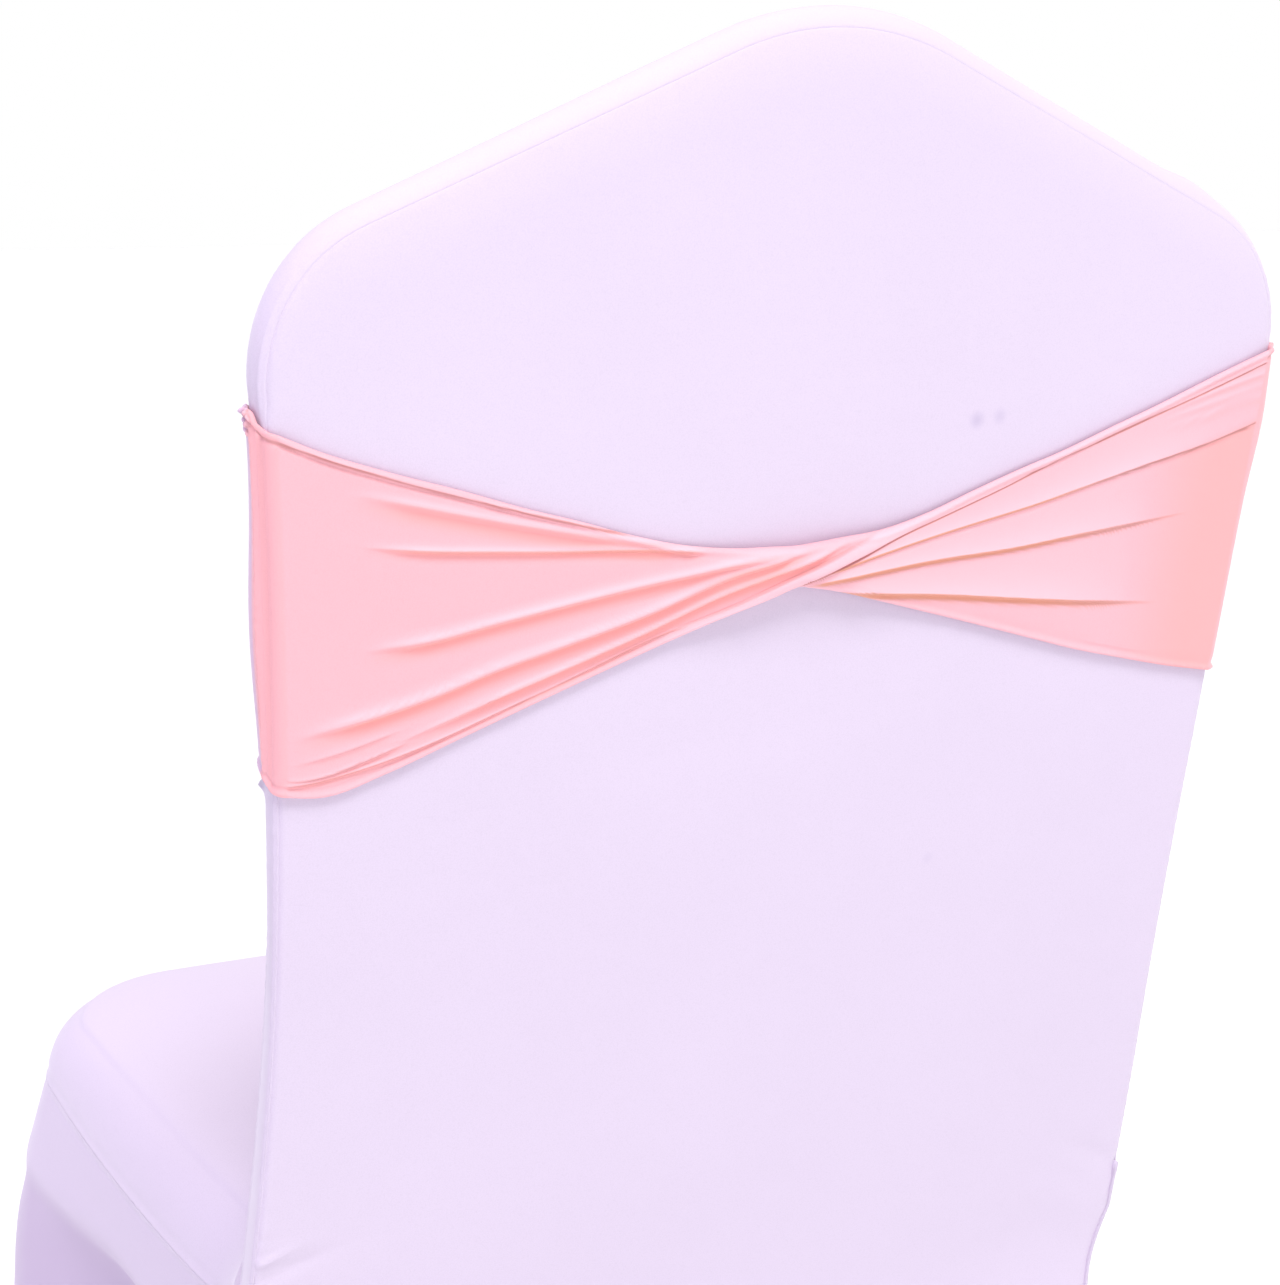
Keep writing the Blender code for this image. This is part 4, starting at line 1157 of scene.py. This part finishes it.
def make_sash(look):
    rings, marks = [], {key: [] for key in PAINTED_LIGHT_KEYS}
    for index, station in enumerate(sash_stations()):
        ring, cloth = sash_ring(station, index * STATION_STEP)
        rings.append(ring)
        for key in PAINTED_LIGHT_KEYS:
            marks[key] += [cloth[key], np.zeros(BACK_COUNT)]
    marks = {key: np.concatenate(values) for key, values in marks.items()}
    size, count = len(rings[0]), len(rings)
    faces = []
    for i in range(count):
        base, following = i * size, ((i + 1) % count) * size
        for j in range(size):
            k = (j + 1) % size
            faces.append((base + j, base + k, following + k, following + j))
    piece = finish_mesh("sash_band_cloth", np.concatenate(rings), faces, "sash_band", look,
                        marks=marks)
    return piece


# Materials

def mix(tree, factor, first, second, blend="MIX"):
    """A colour mixed from two sockets or colours."""
    node = tree.nodes.new("ShaderNodeMix")
    node.data_type = "RGBA"
    node.blend_type = blend
    for key, value in (("Factor", factor), ("A", first), ("B", second)):
        if isinstance(value, bpy.types.NodeSocket):
            tree.links.new(value, node.inputs[key])
        else:
            node.inputs[key].default_value = value
    return node.outputs["Result"]


def map_range(tree, value, start, end, low, high):
    """A socket's value carried from start..end to low..high."""
    node = tree.nodes.new("ShaderNodeMapRange")
    node.inputs["From Min"].default_value = start
    node.inputs["From Max"].default_value = end
    node.inputs["To Min"].default_value = low
    node.inputs["To Max"].default_value = high
    tree.links.new(value, node.inputs["Value"])
    return node


def cloth_look(name, colour, marks=(), spots=(), roughness=0.62, knit=0.00055):
    """Fine stretch knit: tiny loops as bump, slow colour variation and a soft sheen."""
    look = bpy.data.materials.new(name)
    look.use_nodes = True
    tree = look.node_tree
    nodes, links = tree.nodes, tree.links
    shader = nodes["Principled BSDF"]
    shader.inputs["Roughness"].default_value = roughness
    shader.inputs["Sheen Weight"].default_value = 0.25
    shader.inputs["Sheen Roughness"].default_value = 0.45
    shader.inputs["Specular IOR Level"].default_value = 0.25
    place = nodes.new("ShaderNodeTexCoord").outputs["Object"]
    # Slow variation of the dye
    slow = nodes.new("ShaderNodeTexNoise")
    slow.inputs["Scale"].default_value = 9.0
    slow.inputs["Detail"].default_value = 3.0
    links.new(place, slow.inputs["Vector"])
    last = mix(tree, slow.outputs["Fac"], (*colour, 1.0), (*[c * 0.955 for c in colour], 1.0))
    # Rows of loops, a little darker between them
    loops = nodes.new("ShaderNodeTexVoronoi")
    loops.inputs["Scale"].default_value = 1.0 / knit
    links.new(place, loops.inputs["Vector"])
    fleck = map_range(tree, loops.outputs["Distance"], 0.0, 1.0, 1.0, 0.93)
    last = mix(tree, 1.0, last, fleck.outputs["Result"], "MULTIPLY")
    # Painted shade and highlights from the mesh's attributes
    for key, scale, tinted in marks:
        mark = nodes.new("ShaderNodeAttribute")
        mark.attribute_name = key
        amount = nodes.new("ShaderNodeMath")
        amount.operation = "MULTIPLY"
        amount.use_clamp = True
        amount.inputs[1].default_value = scale
        links.new(mark.outputs["Fac"], amount.inputs[0])
        last = mix(tree, amount.outputs["Value"], last, (*tinted, 1.0))
    for centre, reach, shade in spots:
        gap = nodes.new("ShaderNodeVectorMath")
        gap.operation = "DISTANCE"
        gap.inputs[1].default_value = centre
        links.new(place, gap.inputs[0])
        near = map_range(tree, gap.outputs["Value"], 0.0, reach, shade, 0.0)
        near.interpolation_type = "SMOOTHSTEP"
        last = mix(tree, near.outputs["Result"], last, (*SMUDGE_COLOUR, 1.0))
    links.new(last, shader.inputs["Base Color"])
    bump = nodes.new("ShaderNodeBump")
    bump.inputs["Strength"].default_value = 0.12
    bump.inputs["Distance"].default_value = 0.0002
    links.new(loops.outputs["Distance"], bump.inputs["Height"])
    links.new(bump.outputs["Normal"], shader.inputs["Normal"])
    return look


def flat_look(name, colour, roughness):
    look = bpy.data.materials.new(name)
    look.use_nodes = True
    shader = look.node_tree.nodes["Principled BSDF"]
    shader.inputs["Base Color"].default_value = (*colour, 1.0)
    shader.inputs["Roughness"].default_value = roughness
    return look


# Camera, stage and light

def row_point(place):
    return Vector([float(value) for value in place]) - Vector(MOUNT)


def set_tones():
    """Plain tones, so that the pale cloth and the white studio come out as they are."""
    bpy.context.scene.view_settings.view_transform = "Standard"
    bpy.context.scene.view_settings.look = "None"


def make_camera():
    data = bpy.data.cameras.new("photo_camera")
    data.sensor_fit = "VERTICAL"
    data.sensor_height = SENSOR
    data.lens = CAMERA["focal_px"] * SENSOR / PHOTO_HEIGHT
    data.clip_start = 0.01
    data.clip_end = 60.0
    camera = bpy.data.objects.new("photo_camera", data)
    camera.location = row_point(CAMERA["place"])
    yaw, pitch = CAMERA["yaw"], CAMERA["pitch"]
    forward = Vector((-math.sin(yaw) * math.cos(pitch), -math.cos(yaw) * math.cos(pitch), -math.sin(pitch)))
    camera.rotation_euler = forward.to_track_quat("-Z", "Y").to_euler()
    bpy.context.scene.collection.objects.link(camera)
    bpy.context.scene.camera = camera


def make_lamp(name, place, target, power, size):
    data = bpy.data.lights.new(name, "AREA")
    data.energy = power
    data.size = size
    lamp = bpy.data.objects.new(name, data)
    lamp.location = place
    lamp.rotation_euler = (Vector(place) - Vector(target)).to_track_quat("Z", "Y").to_euler()
    bpy.context.scene.collection.objects.link(lamp)


def make_light(name, comes_from, strength, spread):
    """A soft distant light, with its direction and its spread in degrees."""
    data = bpy.data.lights.new(name, "SUN")
    data.energy = strength
    data.angle = math.radians(spread)
    light = bpy.data.objects.new(name, data)
    light.rotation_euler = (-Vector(comes_from)).to_track_quat("-Z", "Y").to_euler()
    bpy.context.scene.collection.objects.link(light)


def make_stage():
    mesh = bpy.data.meshes.new("studio_floor")
    z = FLOOR - MOUNT[2]
    corners = [(x * STAGE_SIZE, y * STAGE_SIZE, z) for x, y in ((-1, -1), (1, -1), (1, 1), (-1, 1))]
    mesh.from_pydata(corners, [], [(0, 1, 2, 3)])
    mesh.materials.append(flat_look("pale_floor", FLOOR_COLOUR, 0.9))
    floor = bpy.data.objects.new("studio_floor", mesh)
    bpy.context.scene.collection.objects.link(floor)


def make_world():
    """White round the horizon, a little dimmer overhead and violet on the sitter's left."""
    world = bpy.data.worlds.new("studio")
    world.use_nodes = True
    tree = world.node_tree
    split = tree.nodes.new("ShaderNodeSeparateXYZ")
    tree.links.new(tree.nodes.new("ShaderNodeTexCoord").outputs["Generated"], split.inputs["Vector"])
    rise = map_range(tree, split.outputs["Z"], 0.10, 0.32, 1.0, 0.68)
    side = map_range(tree, split.outputs["X"], 0.15, 0.75, 0.0, 1.0)
    tint = mix(tree, side.outputs["Result"], WORLD_WHITE, WORLD_VIOLET)
    tree.links.new(rise.outputs["Result"], tree.nodes["Background"].inputs["Strength"])
    tree.links.new(tint, tree.nodes["Background"].inputs["Color"])
    bpy.context.scene.world = world


def main():
    set_tones()
    make_camera()
    make_stage()
    make_world()
    make_lamp("near_key", LAMP["place"], LAMP["target"], LAMP["power"], LAMP["size"])
    for sun in SUNS:
        make_light(sun["name"], sun["from"], sun["strength"], sun["spread"])
    smudges = [(row_point(back_point(row["x"], row["height"], 0.0)), row["reach"], row["shade"])
               for row in SMUDGES]
    cover = cloth_look("cover_knit", COVER_COLOUR, marks=COVER_MARKS, spots=smudges)
    sash = cloth_look("sash_knit", SASH_COLOUR, marks=SASH_PAINTED_LIGHT, roughness=0.55)
    make_back_panel(cover)
    make_front_panel(cover)
    make_back_gusset(cover)
    make_seat_panel(cover)
    make_seat_skirt(cover)
    make_sash(sash)


main()
